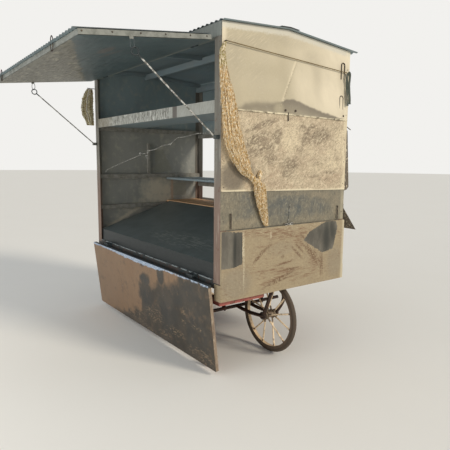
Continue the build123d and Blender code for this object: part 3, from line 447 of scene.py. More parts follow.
def dull_galvanised_sheet(mix):
    """Bare galvanised band, dulled and fingered: warm grey with soft clouds, grit and a dust film, and a
    painted highlight along its back edge.
    """
    upright = mix.patches(46, 0.4, 0.66, (1, 1, 2.6), seed=21, detail=7)
    grit = mix.patches(7, 0.56, 0.66, seed=23, detail=3)
    smear = mix.patches(20, 0.52, 0.62, (1, 2, 1), (radians(30), 0, 0), seed=75, detail=7)
    mote = mix.patches(14, 0.55, 0.62, (1, 1, 2), seed=120, detail=5)
    spots = mix.patches(15, 0.55, 0.62, (1, 1, 2), seed=121, detail=5)
    dark = mix.torn("dark", 60, 92, 0.45)
    haze = mix.torn("haze", 50, 76, 0.4)
    # Painted highlight along the back edge
    right = mix.both(mix.rising("Y", 0.93, 0.96), mix.patches(24, 0.35, 0.55, (1, 1, 4), seed=93))
    colour = mix.coats(
        "band_sheet", (dark, 0.9, "band_dark"), (haze, 0.75, "band_haze"), (upright, 0.22, "band_haze"),
        (smear, 0.25, "#A79F88"), (grit, 0.45, "#4E4A40"), (mote, 0.4, "#A8A08A"), (spots, 0.4, "#55534A"),
        (right, 0.5, "#C8BEA2"),
    )
    mix.close(colour, 0.45, upright, 0.5, Metallic=0.25)


def flange_strip(mix):
    """Edge strip and loose sheet at the back corner: dark with brown rust and flecks of old cream paint."""
    rust = mix.patches(22, 0.44, 0.6, (1, 1, 2), seed=94, detail=7)
    flecks = mix.patches(13, 0.58, 0.62, (1, 1, 2.5), seed=95, detail=4)
    colour = mix.coats("#6F6658", (rust, 0.7, "#4C3B2E"), (flecks, 0.85, "#DDD2B8"))
    mix.close(colour, 0.6, rust, 0.5, Metallic=0.1)


def dusty_skirt_sheet(mix):
    """Sheet of the drop flap under dry mud dust, scraped in brown arcs, with painted dark reflections in
    two places, pale lines of painted highlight, and a painted highlight along its back edge.
    """
    level = mix.patches(9, 0.44, 0.56, (1, 6, 0.7), seed=24, detail=6)
    broken = mix.patches(10, 0.40, 0.52, seed=96, detail=5)
    scrape = mix.both(mix.torn("scrape", 20, 97, 0.3, (1, 3, 0.7)), level)
    arcs = mix.both(mix.marked("arc"), broken)
    strokes = mix.patches(9, 0.54, 0.62, (1, 6, 0.6), (radians(-12), 0, 0), seed=25, detail=7)
    field = mix.patches(160, 0.46, 0.62, (1, 1.4, 1), seed=78)
    cloud = mix.patches(90, 0.4, 0.65, seed=98, detail=7)
    grit = mix.patches(7, 0.56, 0.66, seed=27, detail=3)
    motes = mix.patches(15, 0.52, 0.60, (1, 1.6, 1), seed=116, detail=5)
    flecks = mix.patches(13, 0.55, 0.62, (1, 1.6, 1), seed=117, detail=5)
    # Two patches of painted dark reflection, their edges torn
    bare = mix.torn("bare", 16, 28, 0.12)
    upright = mix.patches(24, 0.42, 0.62, (1, 1, 8), seed=29, detail=7)
    pale = mix.both(mix.patches(9, 0.6, 0.66, (1, 3, 0.8), seed=99), mix.rising("Z", 0.95, 1.01))
    light = mix.patches(120, 0.42, 0.6, (1, 1, 2), seed=112, detail=7)
    # The painted dark reflection, with lighter patches, upright streaks, a darkest streak and pale lines of
    # painted sheen
    painted_dark_reflection = mix.coats(
        "bare_sheet", (light, 0.55, "#8B8678"), (upright, 0.25, "#4A4942"),
        (mix.marked("streak"), "bare_dark"), (mix.both(mix.marked("line"), broken), "#D6CDB4"),
    )
    colour = mix.coats(
        "skirt_dust", (mix.marked("grey"), 0.8, "skirt_grey"), (cloud, 0.3, "#8F8069"),
        (motes, 0.22, "#7F7058"), (flecks, 0.18, "#C9BB9C"), (grit, 0.3, "#7A654A"),
        (mix.both(strokes, field), 0.8, "skirt_scratch"), (scrape, 0.95, "skirt_scratch"),
        (arcs, 0.9, "#6B5039"), (pale, 0.8, "#DCCFB0"), (bare, painted_dark_reflection),
        # Pale lines of painted highlight, then a painted highlight along the back edge
        (mix.both(mix.marked("line"), broken), 0.7, "#DDD2B6"),
        (mix.rising("Y", 0.945, 0.975), 0.6, "#D9CFB2"),
    )
    mix.close(colour, 0.62, strokes, 0.4, Metallic=0.1)


def worn_flap_sheet(mix):
    """Shiny sheet of the serving flap: a tan painted reflection of the ground that fades softly, dark
    painted reflection in blots, a bluish painted highlight along its top, runs and grit.
    """
    film = mix.patches(240, 0.38, 0.62, seed=30, detail=7)
    runs = mix.patches(20, 0.5, 0.7, (1, 1, 6), seed=32)
    grit = mix.patches(8, 0.58, 0.68, seed=33, detail=3)
    # Dark painted reflection, deeper in places
    dark = mix.torn("dark", 70, 79, 0.42)
    deep = mix.torn("deep", 90, 100, 0.5)
    cloudy = mix.patches(120, 0.40, 0.62, seed=80, detail=8)
    # Tan painted reflection of the ground in level streaks, low on the dark part
    level_streaks = mix.patches(13, 0.52, 0.6, (2.6, 1, 1), (0, radians(-8), 0), seed=81, detail=6)
    low_tan = mix.both(mix.marked("low_tan"), level_streaks)
    # Bluish painted highlight along the top, with paler painted glints in it
    rubbed = mix.torn("rubbed", 16, 34, 0.14, (2.2, 1, 1))
    flecks = mix.patches(7, 0.5, 0.56, (1.6, 1, 1), seed=101, detail=3)
    under = mix.coats(
        "flap_dark", (deep, 0.9, "#3F3F3C"), (cloudy, 0.3, "#6A5F52"), (low_tan, 0.85, "#9A8468"),
    )
    # The tan base is a painted reflection of the ground
    colour = mix.coats(
        "flap_tan", (film, 0.35, "#977D62"), (runs, 0.25, "#6E5C4B"), (dark, under),
        (rubbed, 0.9, "flap_worn"), (mix.both(rubbed, flecks), 0.8, "#D3DCE4"), (grit, 0.3, "#3E3A35"),
    )
    mix.close(colour, 0.42, film, 0.5, Metallic=0.3)


def flap_edge_paint(mix):
    """Angle frame of the serving flap: pale tan at its upright edges, dark along the hinge with painted
    shade of the recess under the counter.
    """
    # Painted shade along the hinge, under the counter
    top = mix.rising("Z", 0.630, 0.646)
    rust = mix.patches(26, 0.46, 0.62, (1, 1, 3), seed=102, detail=6)
    pale = mix.patches(15, 0.56, 0.62, (1, 1, 3), seed=103)
    colour = mix.coats("#94826F", (rust, 0.6, "#655646"), (pale, 0.6, "#B9AB96"), (top, "#2E3436"))
    mix.close(colour, 0.6, rust, 0.4, Metallic=0.1)


def stained_awning_tin(mix):
    """Thin tin nailed below the awning: brown film and water marks, and elsewhere slate grey that is
    painted shade and dark reflection.
    """
    # Beyond the brown film, the slate is painted shade and dark reflection
    brown = mix.torn("brown", 40, 35, 0.25)
    rows = mix.patches(22, 0.48, 0.58, (5, 1, 1), seed=36, detail=7)
    seams = mix.patches(12, 0.6, 0.64, (7, 1, 1), seed=104, detail=4)
    pale = mix.patches(40, 0.56, 0.64, (2.4, 1, 1), seed=37)
    soft = mix.patches(260, 0.4, 0.66, seed=82)
    smudge = mix.torn("smudge", 50, 83, 0.4)
    film = mix.coats("tin_brown", (rows, 0.75, "#565245"), (pale, 0.75, "#A39D8A"), (seams, 0.9, "#35332C"))
    painted_dark_reflection = mix.coats("tin_slate", (soft, 0.4, "#3E494D"), (smudge, 0.5, "#7A6A62"))
    mix.close(mix.coats(painted_dark_reflection, (brown, film)), 0.45, rows, 0.4, Metallic=0.15)


def shiny_inner_sheet(mix):
    """Sheet that lines the cabin, painted lighter than the real sheet to offset the shade inside: slate
    above, brown film below, a pale wash and pale marks in places.
    """
    low = mix.rising("Z", 1.86, 1.74)
    wipe = mix.patches(130, 0.42, 0.66, (1, 1, 3), seed=38)
    streak = mix.patches(20, 0.56, 0.66, (1, 1, 4), seed=40)
    pale = mix.torn("pale", 36, 84, 0.25)
    # A pale wash with torn edges
    dusty = mix.torn("dusty", 60, 39, 0.45)
    strip = mix.torn("strip", 20, 105, 0.2)
    flecks = mix.both(mix.marked("flecks"), mix.patches(18, 0.5, 0.56, (1, 2.5, 0.6), seed=85))
    colour = mix.coats(
        "inner_sheet", (low, 0.85, "inner_brown"), (wipe, 0.2, "#5A6464"),
        (mix.both(streak, low), 0.2, "#97978C"), (dusty, 0.85, "inner_dust"), (pale, 0.75, "#8E8D80"),
        (strip, 0.9, "#B29A86"), (flecks, "#D8D4C4"),
    )
    outside = mix.math("MAXIMUM", mix.facing("X", -0.4, -0.6), mix.facing("Y", 0.4, 0.6))
    cloud = mix.patches(210, 0.4, 0.66, (1, 1, 1.5), seed=122, detail=8)
    runs = mix.patches(34, 0.48, 0.62, (1, 1, 7), seed=123, detail=6)
    grit = mix.patches(14, 0.56, 0.64, seed=124, detail=4)
    weathered = mix.coats(
        "#AFA58D", (cloud, 0.6, "#8B8470"), (runs, 0.35, "#6F695B"), (grit, 0.4, "#5F574A"),
        (mix.rising("Z", 0.95, 0.70), 0.5, "dust"),
    )
    colour = mix.coats(colour, (outside, weathered))
    mix.close(colour, 0.45, wipe, 0.5, Metallic=0.15)


def greasy_counter_sheet(mix):
    """Sheet of the counter, dark with grease and painted lighter to offset the cabin's shade; its upright
    sill darker with painted shade, and pale strokes on top as painted highlights.
    """
    grease = mix.patches(170, 0.42, 0.66, seed=86, detail=7)
    strokes = mix.patches(16, 0.5, 0.58, (5, 1, 1), seed=87, detail=6)
    # Pale strokes on top: painted highlights
    rubbed = mix.both(mix.spot((250, -60, 830), (520, 110, 120)), strokes)
    # The upright sill is darkened with painted shade
    sill = mix.facing("Y", -0.75, -0.85)
    colour = mix.coats(
        "counter", (grease, 0.4, "#3A4242"), (rubbed, 0.6, "#8F948E"),
        (sill, mix.coats("#23292A", (strokes, 0.25, "#353A3A"))),
    )
    mix.close(colour, 0.38, grease, 0.4, Metallic=0.2)


def run_stained_strip(mix):
    """Pale painted strip in front of the loft, with dark runs of water and soot down it."""
    runs = mix.patches(15, 0.47, 0.53, (1, 1, 3.4), (0, radians(14), 0), seed=41, detail=6)
    film = mix.patches(90, 0.42, 0.62, seed=42)
    flakes = mix.patches(17, 0.52, 0.56, (1, 1, 3), (0, radians(-10), 0), seed=113, detail=6)
    worse = mix.rising("X", 0.45, 0.30)
    far = mix.rising("X", -0.62, -0.82)
    mark = mix.both(mix.rising("X", 0.400, 0.408), mix.rising("X", 0.470, 0.462))
    colour = mix.coats(
        "fascia", (film, 0.4, "#94938A"), (mix.both(runs, worse), 0.8, "#62625B"), (runs, 0.25, "#7C7B72"),
        (mix.both(flakes, worse), 0.6, "#D8D9D2"), (far, 0.6, "#8A8270"), (mark, 0.85, "#57504A"),
    )
    mix.close(colour, 0.55, runs, 0.3, Metallic=0.05)


def sawn_board(mix):
    """Old sawn softwood, lightened as painted sunlight: long grain every few millimetres, grey at the
    surface, open cracks.
    """
    grain = mix.patches(9, 0.35, 0.65, (40, 1, 1), seed=43)
    tone = mix.patches(140, 0.4, 0.65, (5, 1, 1), seed=44)
    crack = mix.patches(6, 0.66, 0.7, (60, 1, 1), seed=45, detail=2)
    colour = mix.coats("wood", (grain, 0.5, "#B08A5E"), (tone, 0.5, "#6A5A48"), (crack, 0.8, "#34281C"))
    mix.close(colour, 0.75, grain, 0.5)


def cream_frame_paint(mix):
    """Cream enamel on the awning's near rail, yellowed and nicked; the other rails are grey with soot, the
    grey a painted shade of the same cream rails.
    """
    film = mix.patches(70, 0.42, 0.7, (2, 1, 1), seed=46)
    nicks = mix.patches(16, 0.62, 0.68, seed=47)
    # Painted shade: the other rails take grey in place of the cream
    bare = mix.rising("X", 0.985, 0.975)
    soot = mix.patches(60, 0.42, 0.62, (2, 1, 1), seed=106, detail=7)
    lug = mix.rising("Z", 2.126, 2.118)
    near_lug = mix.both(lug, mix.both(mix.rising("Y", -0.86, -0.84), mix.rising("Y", -0.76, -0.78)))
    grey = mix.coats("#878982", (soot, 0.7, "#53564F"))
    colour = mix.coats(
        "batten", (film, 0.4, "#9F967F"), (nicks, 0.85, "rust"), (bare, grey), (near_lug, "#3E484C"),
    )
    mix.close(colour, 0.5, nicks, 0.3, Metallic=0.05)


def drawn_steel_rod(mix):
    """Drawn steel rod: brown grime with bright lengths of painted highlight; the bent rings stay dark."""
    # Bright lengths of painted highlight
    rubbed = mix.patches(24, 0.5, 0.54, seed=48, detail=3)
    spots = mix.patches(9, 0.62, 0.7, seed=49)
    ring = mix.rising("Z", 2.035, 2.045)
    colour = mix.coats("bright_steel", (rubbed, 0.75, "#DAD9D3"), (spots, 0.7, "rust"), (ring, "#2F3638"))
    mix.close(colour, 0.4, rubbed, 0.05, Metallic=0.4)


def worn_wheel_paint(mix, middle, outer):
    """Cream paint on rod spokes; the hub is dark with grease and road dirt, and the sides of the rim dark
    with painted shade.
    """
    rust = mix.patches(34, 0.5, 0.62, seed=50)
    fine = mix.patches(9, 0.58, 0.68, seed=51)
    off = mix.out("VectorMath", {0: mix.point, 1: middle}, operation="SUBTRACT")
    away = mix.reach(mix.out("CombineXYZ", {"X": mix.part(off, "X"), "Z": mix.part(off, "Z")}))
    rim = mix.math("GREATER_THAN", away, outer * 0.86)
    # Painted shade on the sides of the rim
    side = mix.math("MAXIMUM", mix.facing("Y", 0.55, 0.65), mix.facing("Y", -0.55, -0.65))
    hub = mix.math("LESS_THAN", away, outer * 0.24)
    colour = mix.coats(
        "spokes", (rust, 0.5, "rust"), (fine, 0.6, "fork_steel"), (rim, 0.5, "#A98B62"),
        (mix.both(rim, side), 0.9, "#4A3A30"), (hub, 0.8, "#4A3B32"),
    )
    mix.close(colour, 0.62, rust, 0.4)


def solid_tyre_rubber(mix):
    """Moulded solid rubber gone brown grey with road dust ground into the tread, small cuts."""
    dust = mix.patches(28, 0.42, 0.68, seed=52)
    cuts = mix.patches(7, 0.6, 0.68, seed=53)
    colour = mix.coats("rubber", (dust, 0.6, "#5B4D3E"), (cuts, "#3A3128"))
    mix.close(colour, 0.85, cuts, 0.6)


def knotted_netting(mix, thread, light, gaps, olive_from):
    """Knotted plastic netting in diamonds, shown by its own map; its threads catch the sun."""
    flat = mix.out("UVMap", uv_map="cloth")
    lines = []
    for slant in ("ADD", "SUBTRACT"):
        run = mix.math(slant, mix.part(flat, "X"), mix.part(flat, "Y"))
        lines.append(mix.math("LESS_THAN", mix.math("PINGPONG", run, 0.5), 0.5 * (1 - gaps)))
    threads = mix.math("MAXIMUM", *lines)
    glint = mix.patches(9, 0.50, 0.55, (1, 1, 1.4), seed=54, detail=4)
    shade_spots = mix.patches(11, 0.52, 0.58, (1, 1, 1.6), seed=115, detail=4)
    tone = mix.patches(26, 0.42, 0.64, (1, 1, 5), seed=55)
    olive = mix.rising("Z", olive_from, olive_from + 0.06)
    colour = mix.coats(
        thread, (tone, 0.5, "#A47D38"), (olive, 0.85, "net_olive"), (shade_spots, 0.7, "#8A6A30"),
        (glint, 0.95, light),
    )
    mix.close(colour, 0.5, glint, 0.8, Alpha=threads)


def limp_rag(mix):
    """Strip torn from an old dark cloth: faded green grey, frayed, with a coarse weave that shows."""
    weave = mix.patches(3, 0.4, 0.6, seed=88, detail=2)
    fade = mix.patches(30, 0.42, 0.64, seed=89)
    colour = mix.coats("rag", (fade, 0.5, "#6E7468"), (weave, 0.35, "#2E322C"))
    mix.close(colour, 0.9, weave, 0.4)


def twisted_fibre(mix):
    """Laid fibre rope, dirty: pale hairs in fine streaks and dark dirt in patches."""
    hairs = mix.patches(3, 0.4, 0.62, (1, 5, 1), seed=56)
    dirt = mix.patches(60, 0.45, 0.65, seed=57)
    colour = mix.coats("rope", (hairs, 0.6, "#A8946A"), (dirt, 0.6, "#4A3E2A"))
    mix.close(colour, 0.85, hairs, 0.3)


def studio_floor(mix):
    """Pale matt studio floor with a faint unevenness, so that the shadow lies on something."""
    uneven = mix.patches(900, 0.3, 0.8, seed=58)
    colour = mix.coats("floor", (uneven, 0.06, "#CFC9BD"))
    mix.close(colour, 0.9)


# The recipe of each CAD node's finish; the wheels have their own, one each
FINISHES = {
    weathered_tin: ("roof_serving", "roof_back", "ridge_cap", "awning_top_sheet"),
    faded_red_paint: ("chassis_frame", "prop_leg", "leg_bracket", "rear_hangers"),
    blackened_steel: ("front_fork", "front_axle", "rear_axle", "end_flap_hinges"),
    dark_iron: ("band_hooks", "rope_hooks", "end_fittings"),
    weathered_angle_paint: ("post_near_serving", "post_near_back", "post_far_serving", "post_far_back"),
    bare_eave_board: ("plate_serving",),
    flap_edge_paint: ("flap_frame",),
    smoked_iron: ("awning_hinges", "flap_hinges", "stay_bracket_near", "stay_bracket_far"),
    smoky_steel: ("plate_back", "rafters", "upper_shelf", "loft_floor"),
    browned_girt_steel: ("end_girts", "back_girts"),
    dark_deck_edge: ("deck_frame", "deck_boards"),
    dusty_skirt_sheet: ("end_flap",),
    flange_strip: ("back_loose_sheet", "corner_flange"),
    greasy_counter_sheet: ("counter_slope",),
    run_stained_strip: ("loft_fascia",),
    sawn_board: ("plank_shelf", "shelf_uprights"),
    cream_frame_paint: ("awning_frame",),
    drawn_steel_rod: ("stay_near", "stay_far"),
    solid_tyre_rubber: ("tyre_front", "tyre_rear_serving", "tyre_rear_back"),
}


def finish_of(make, *extra):
    """The one material that a recipe makes, made when it is first asked for; extra starts with its name."""
    name, *rest = extra or (make.__name__,)
    if name not in bpy.data.materials:
        make(Recipe(name), *rest)
    return bpy.data.materials[name]


# Shapes


def smooth(low, high, value):
    """0 below low, 1 above high and an even curve between."""
    share = min(1.0, max(0.0, (value - low) / (high - low)))
    return share * share * (3 - 2 * share)


def bumps(u, v, across, seed=0.0):
    """Soft bumps from about -1 to 1, so many metres across."""
    return 1.6 * noise.noise(Vector((u / across, v / across, seed)))


def placed(origin, across, up):
    """The matrix of a flat piece whose own X, Y and Z lie along across, up and out."""
    out = across.cross(up)
    return Matrix.Translation(origin) @ Matrix((across, up, out)).transposed().to_4x4()


def piece(bm, name, body, material, replaces=(), sharp=40):
    """Turn a bmesh into a piece of the cart that rides on a body."""
    mesh = bpy.data.meshes.new(name)
    bm.to_mesh(mesh)
    bm.free()
    mesh.materials.append(material)
    mesh.shade_smooth()
    mesh.set_sharp_from_angle(angle=radians(sharp))
    made = bpy.data.objects.new(name, mesh)
    bpy.context.scene.collection.objects.link(made)
    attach(made, body)
    if replaces:
        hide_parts(*replaces)
    return made


def slice_sheet(bm, point, normal, **settings):
    """Slice a bmesh at a plane."""
    everything = bm.verts[:] + bm.edges[:] + bm.faces[:]
    bmesh.ops.bisect_plane(bm, geom=everything, dist=1e-5, plane_co=point, plane_no=normal, **settings)


def sheet_metal(place, width, height, step, press=None, marks=None, holes=(), cuts=()):
    """A thin sheet in its own plane from (0, 0), cut, pierced, pressed out by a function and thickened."""
    bm = bmesh.new()
    bmesh.ops.create_grid(
        bm, x_segments=max(2, round(width / step)), y_segments=max(2, round(height / step)), size=0.5,
    )
    bmesh.ops.scale(bm, vec=(width, height, 1), verts=bm.verts)
    bmesh.ops.translate(bm, vec=(width / 2, height / 2, 0), verts=bm.verts)
    for point, normal in cuts:
        slice_sheet(bm, point, normal, clear_outer=True)
    for x0, x1, y0, y1 in holes:
        for x in (x0, x1):
            slice_sheet(bm, (x, 0, 0), (1, 0, 0))
        for y in (y0, y1):
            slice_sheet(bm, (0, y, 0), (0, 1, 0))
        inside = [
            f for f in bm.faces if x0 < f.calc_center_median().x < x1 and y0 < f.calc_center_median().y < y1
        ]
        bmesh.ops.delete(bm, geom=inside, context="FACES")
    if press:
        for v in bm.verts:
            v.co.z += press(v.co.x, v.co.y)
    bmesh.ops.recalc_face_normals(bm, faces=bm.faces)
    bmesh.ops.solidify(bm, geom=bm.faces[:], thickness=bpy.context.scene.cart_sizes.sheet_wall)
    for mark, shape in (marks or {}).items():
        layer = bm.verts.layers.float.new(mark)
        for v in bm.verts:
            v[layer] = shape(v.co.x, v.co.y)
    bmesh.ops.transform(bm, matrix=place, verts=bm.verts)
    return bm


def curve_mesh(kind, routes, on_spline, **settings):
    """The mesh of one curve through lists of points; the curve itself is thrown away."""
    curve = bpy.data.curves.new("route", "CURVE")
    curve.dimensions = "3D"
    for key, value in settings.items():
        setattr(curve, key, value)
    for route in routes:
        spline = curve.splines.new(kind)
        spline.points.add(len(route) - 1)
        for knot, point in zip(spline.points, route):
            knot.co = (*point, 1)
        for key, value in on_spline.items():
            setattr(spline, key, value)
    holder = bpy.data.objects.new("route", curve)
    mesh = bpy.data.meshes.new_from_object(holder)
    bpy.data.objects.remove(holder)
    bpy.data.curves.remove(curve)
    return mesh


def tubes(routes, radius, sides=3, closed=False):
    """Round wires along lists of points, as one bmesh."""
    mesh = curve_mesh(
        "POLY", routes, {"use_cyclic_u": closed}, bevel_depth=radius, bevel_resolution=sides - 2,
        use_fill_caps=True,
    )
    bm = bmesh.new()
    bm.from_mesh(mesh)
    bpy.data.meshes.remove(mesh)
    return bm


def nurbs_points(points, steps=24):
    """Points read from the smooth line that a route's points control."""
    mesh = curve_mesh("NURBS", [points], {"order_u": 3, "use_endpoint_u": True}, resolution_u=steps)
    found = [v.co.copy() for v in mesh.vertices]
    bpy.data.meshes.remove(mesh)
    return found


def even(points, step):
    """The same line with its points a step apart."""
    lengths = [0.0]
    for a, b in zip(points, points[1:]):
        lengths.append(lengths[-1] + (b - a).length)
    count = max(2, round(lengths[-1] / step))
    found, i = [], 0
    for k in range(count + 1):
        want = lengths[-1] * k / count
        while i < len(points) - 2 and lengths[i + 1] < want:
            i += 1
        share = (want - lengths[i]) / max(1e-9, lengths[i + 1] - lengths[i])
        found.append(points[i].lerp(points[i + 1], min(1.0, share)))
    return found


def laid_strands(line, radius, lay, strands=3):
    """Routes of the strands that wind round a line."""
    routes = [[] for _ in range(strands)]
    run = 0.0
    for i, point in enumerate(line):
        ahead = line[min(i + 1, len(line) - 1)] - line[max(i - 1, 0)]
        side = ahead.cross(AXES["X"] if abs(ahead.normalized().x) < 0.8 else AXES["Z"]).normalized()
        other = ahead.cross(side).normalized()
        for k in range(strands):
            turn = 2 * pi * (run / lay + k / strands)
            routes[k].append(point + radius * (cos(turn) * side + sin(turn) * other))
        if i + 1 < len(line):
            run += (line[i + 1] - point).length
    return routes


def along(stations, share):
    """The smooth value of a list of stations at a share of its run."""
    place = min(0.9999, max(0.0, share)) * (len(stations) - 1)
    i = int(place)
    t = place - i
    a, b, c, d = (Vector(stations[max(0, min(len(stations) - 1, j))]) for j in (i - 1, i, i + 1, i + 2))
    return 0.5 * (
        2 * b + (c - a) * t + (2 * a - 5 * b + 4 * c - d) * t * t + (3 * b - a - 3 * c + d) * t ** 3
    )


def ribbon(route, width, wall=1.2 * MM):
    """A limp strip of cloth along a smooth line, turned this way and that, with its flat size."""
    bm = bmesh.new()
    line = even(nurbs_points([Vector(p) for p in route]), 6 * MM)
    total = sum((b - a).length for a, b in zip(line, line[1:]))
    last = len(line) - 1
    bmesh.ops.create_grid(bm, x_segments=last, y_segments=2, size=0.5)
    for v in bm.verts:
        i, across = round((v.co.x + 0.5) * last), 2 * v.co.y
        ahead = (line[min(i + 1, last)] - line[max(i - 1, 0)]).normalized()
        turn = 0.9 * noise.noise(Vector((i * 0.06, 0, 9)))
        side = ahead.cross(AXES["X"]).normalized() * cos(turn) + AXES["X"] * sin(turn)
        half = width / 2 * (1 + 0.18 * noise.noise(Vector((i * 0.3, 4, 0))))
        v.co = line[i] + side * half * across
    bmesh.ops.recalc_face_normals(bm, faces=bm.faces)
    bmesh.ops.solidify(bm, geom=bm.faces[:], thickness=wall)
    return bm, (width, total)


def turns(count, points=None):
    """Angles of points evenly round a circle, in radians."""
    return [2 * pi * k / count for k in range(points or count)]


def heads(places, normal, radius):
    """Small domed heads of nails or rivets on a surface."""
    bm = bmesh.new()
    turn = AXES["Z"].rotation_difference(normal).to_matrix().to_4x4()
    for place in places:
        matrix = Matrix.Translation(place) @ turn @ Matrix.Diagonal((1, 1, 0.45, 1))
        bmesh.ops.create_uvsphere(bm, u_segments=10, v_segments=6, radius=radius, matrix=matrix)
    return bm


def low_of(node):
    """Lowest corner of a node."""
    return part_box(node)[0]


def high_of(node):
    """Highest corner of a node."""
    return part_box(node)[1]


# Pieces

END_FACE = high_of("end_upper").x
FRONT = low_of("end_band").y
BACK = high_of("end_band").y
WIDTH = BACK - FRONT
RIDGE_Y = (low_of("ridge_cap").y + high_of("ridge_cap").y) / 2
END_PLACE = {
    name: placed(Vector((low_of(name).x, FRONT, low_of(name).z)), AXES["Y"], AXES["Z"])
    for name in ("end_upper", "end_middle", "end_band")
}

# Heights of the closed end below the eaves, at its front and back edges, and at the ridge, in metres
GABLE_FRONT, GABLE_BACK = 2.333, 2.312
GABLE_RIDGE = high_of("end_upper").z


def gable_cuts(across_sign, bottom):
    """The two slanting cuts of an end sheet, in its own plane, measured from its lower left corner."""
    ridge = RIDGE_Y - FRONT if across_sign > 0 else BACK - RIDGE_Y
    left, right = (GABLE_FRONT, GABLE_BACK) if across_sign > 0 else (GABLE_BACK, GABLE_FRONT)
    rise = atan2(GABLE_RIDGE - left, ridge)
    fall = atan2(GABLE_RIDGE - right, WIDTH - ridge)
    top = Vector((ridge, GABLE_RIDGE - bottom, 0))
    return (top, Vector((-sin(rise), cos(rise), 0))), (top, Vector((sin(fall), cos(fall), 0)))


def held(u, v, width, height, reach=0.09):
    """1 in the middle of a sheet and 0 along its fastened edges."""
    return smooth(0, reach, min(u, width - u, v, height - v))


def smears(*places, soft=0.35):
    """A mark of soft ovals in millimetres: middle across and up, half sizes, slant in degrees, strength."""
    def mark(across, up):
        value = 0.0
        for middle, height, half_across, half_up, slant, strength in places:
            a, b = across / MM - middle, up / MM - height
            c, s = cos(radians(slant)), sin(radians(slant))
            away = hypot((a * c + b * s) / half_across, (b * c - a * s) / half_up)
            value = max(value, strength * smooth(1 + soft, 1 - soft, away))
        return value
    return mark


def patch(soft, *corners):
    """A mark inside an outline that bulges outwards, its corners clockwise, in millimetres."""
    def mark(across, up):
        depth = min(
            ((b1 - b0) * (across / MM - a0) - (a1 - a0) * (up / MM - b0)) / hypot(a1 - a0, b1 - b0)
            for (a0, b0), (a1, b1) in zip(corners, corners[1:] + corners[:1])
        )
        return smooth(-soft, soft, depth)
    return mark


def profile(points, across):
    """Height of a line through points, smooth between them, all in the points' own units."""
    for (a0, b0), (a1, b1) in zip(points, points[1:]):
        if across <= a1:
            return b0 + (b1 - b0) * smooth(a0, a1, across)
    return points[-1][1]


def on_face(mark, low):
    """A mark in the cart's Y and Z as one in a sheet's own plane, which starts at the front and at low."""
    return lambda u, v: mark(u + FRONT, v + low)


class CART_OT_stage(bpy.types.Operator):
    """Camera at the photo's angle, pale floor, soft sun and plain surroundings"""

    bl_idname = "cart.stage"
    bl_label = "Stage"

    def execute(self, context):
        sizes = context.scene.cart_sizes
        data = bpy.data.cameras.new("photo_camera")
        data.lens, data.sensor_width, data.clip_end = sizes.lens, 36, 200
        camera = bpy.data.objects.new("photo_camera", data)
        eye = Vector((3.455, -2.018, 1.4836))
        yaw, pitch, roll = radians(143.38), radians(7.92), radians(0.53)
        ahead = Vector((cos(yaw) * cos(pitch), sin(yaw) * cos(pitch), -sin(pitch)))
        right = Vector((sin(yaw), -cos(yaw), 0))
        up = right.cross(ahead)
        tilted = right * cos(roll) + up * sin(roll)
        upright = up * cos(roll) - right * sin(roll)
        turned = Matrix((tilted, upright, -ahead)).transposed().to_4x4()
        camera.matrix_world = Matrix.Translation(eye) @ turned
        context.scene.collection.objects.link(camera)
        context.scene.camera = camera

        bm = bmesh.new()
        bmesh.ops.create_circle(bm, cap_ends=True, segments=64, radius=60)
        bmesh.ops.translate(bm, vec=(0, 0, min(0.0, CAD_BOX[0].z)), verts=bm.verts)
        mesh = bpy.data.meshes.new("floor")
        bm.to_mesh(mesh)
        bm.free()
        mesh.materials.append(finish_of(studio_floor))
        floor = bpy.data.objects.new("floor", mesh)
        context.scene.collection.objects.link(floor)

        sun = bpy.data.objects.new("soft_sun", bpy.data.lights.new("soft_sun", "SUN"))
        sun.data.energy, sun.data.angle = 1.7, radians(14)
        sun.data.color = linear("#FFF4E2")[:3]
        sun.rotation_euler = Vector((0.80, 0.34, 0.50)).to_track_quat("Z", "Y").to_euler()
        context.scene.collection.objects.link(sun)

        fill = bpy.data.objects.new("soft_fill", bpy.data.lights.new("soft_fill", "AREA"))
        fill.data.energy, fill.data.shape, fill.data.size, fill.data.size_y = 80, "RECTANGLE", 4, 2.6
        fill.location = (0.5, -4.6, 1.5)
        fill.rotation_euler = (radians(90), 0, 0)
        fill.visible_camera = False
        context.scene.collection.objects.link(fill)

        world = bpy.data.worlds.new("studio")
        world.use_nodes = True
        tree = world.node_tree
        tree.nodes.clear()
        path = add(tree, "LightPath").outputs
        seen = add(
            tree, "Math", {0: path["Is Camera Ray"], 1: path["Is Transmission Ray"]}, operation="MAXIMUM",
        )
        light = add(tree, "Background", {"Color": linear("#F4F7FA"), "Strength": 0.62})
        wall = add(tree, "Background", {"Color": linear("#F2F1EE"), "Strength": 1.0})
        mixed = add(tree, "MixShader", {0: seen.outputs[0], 1: light.outputs[0], 2: wall.outputs[0]})
        add(tree, "OutputWorld", {0: mixed.outputs[0]})
        context.scene.world = world
        context.scene.view_settings.view_transform = "Standard"
        return {"FINISHED"}


class CART_OT_finishes(bpy.types.Operator):
    """Give every CAD node the finish of the real piece"""

    bl_idname = "cart.finishes"
    bl_label = "Finishes"

    def execute(self, context):
        for make, nodes in FINISHES.items():
            material = finish_of(make)
            for name in nodes:
                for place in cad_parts[name].material_slots:
                    place.material = material
        for name in ("wheel_front", "wheel_rear_serving", "wheel_rear_back"):
            low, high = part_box(name)
            painted = finish_of(worn_wheel_paint, name + "_paint", (low + high) / 2, (high.z - low.z) / 2)
            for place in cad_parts[name].material_slots:
                place.material = painted
        return {"FINISHED"}


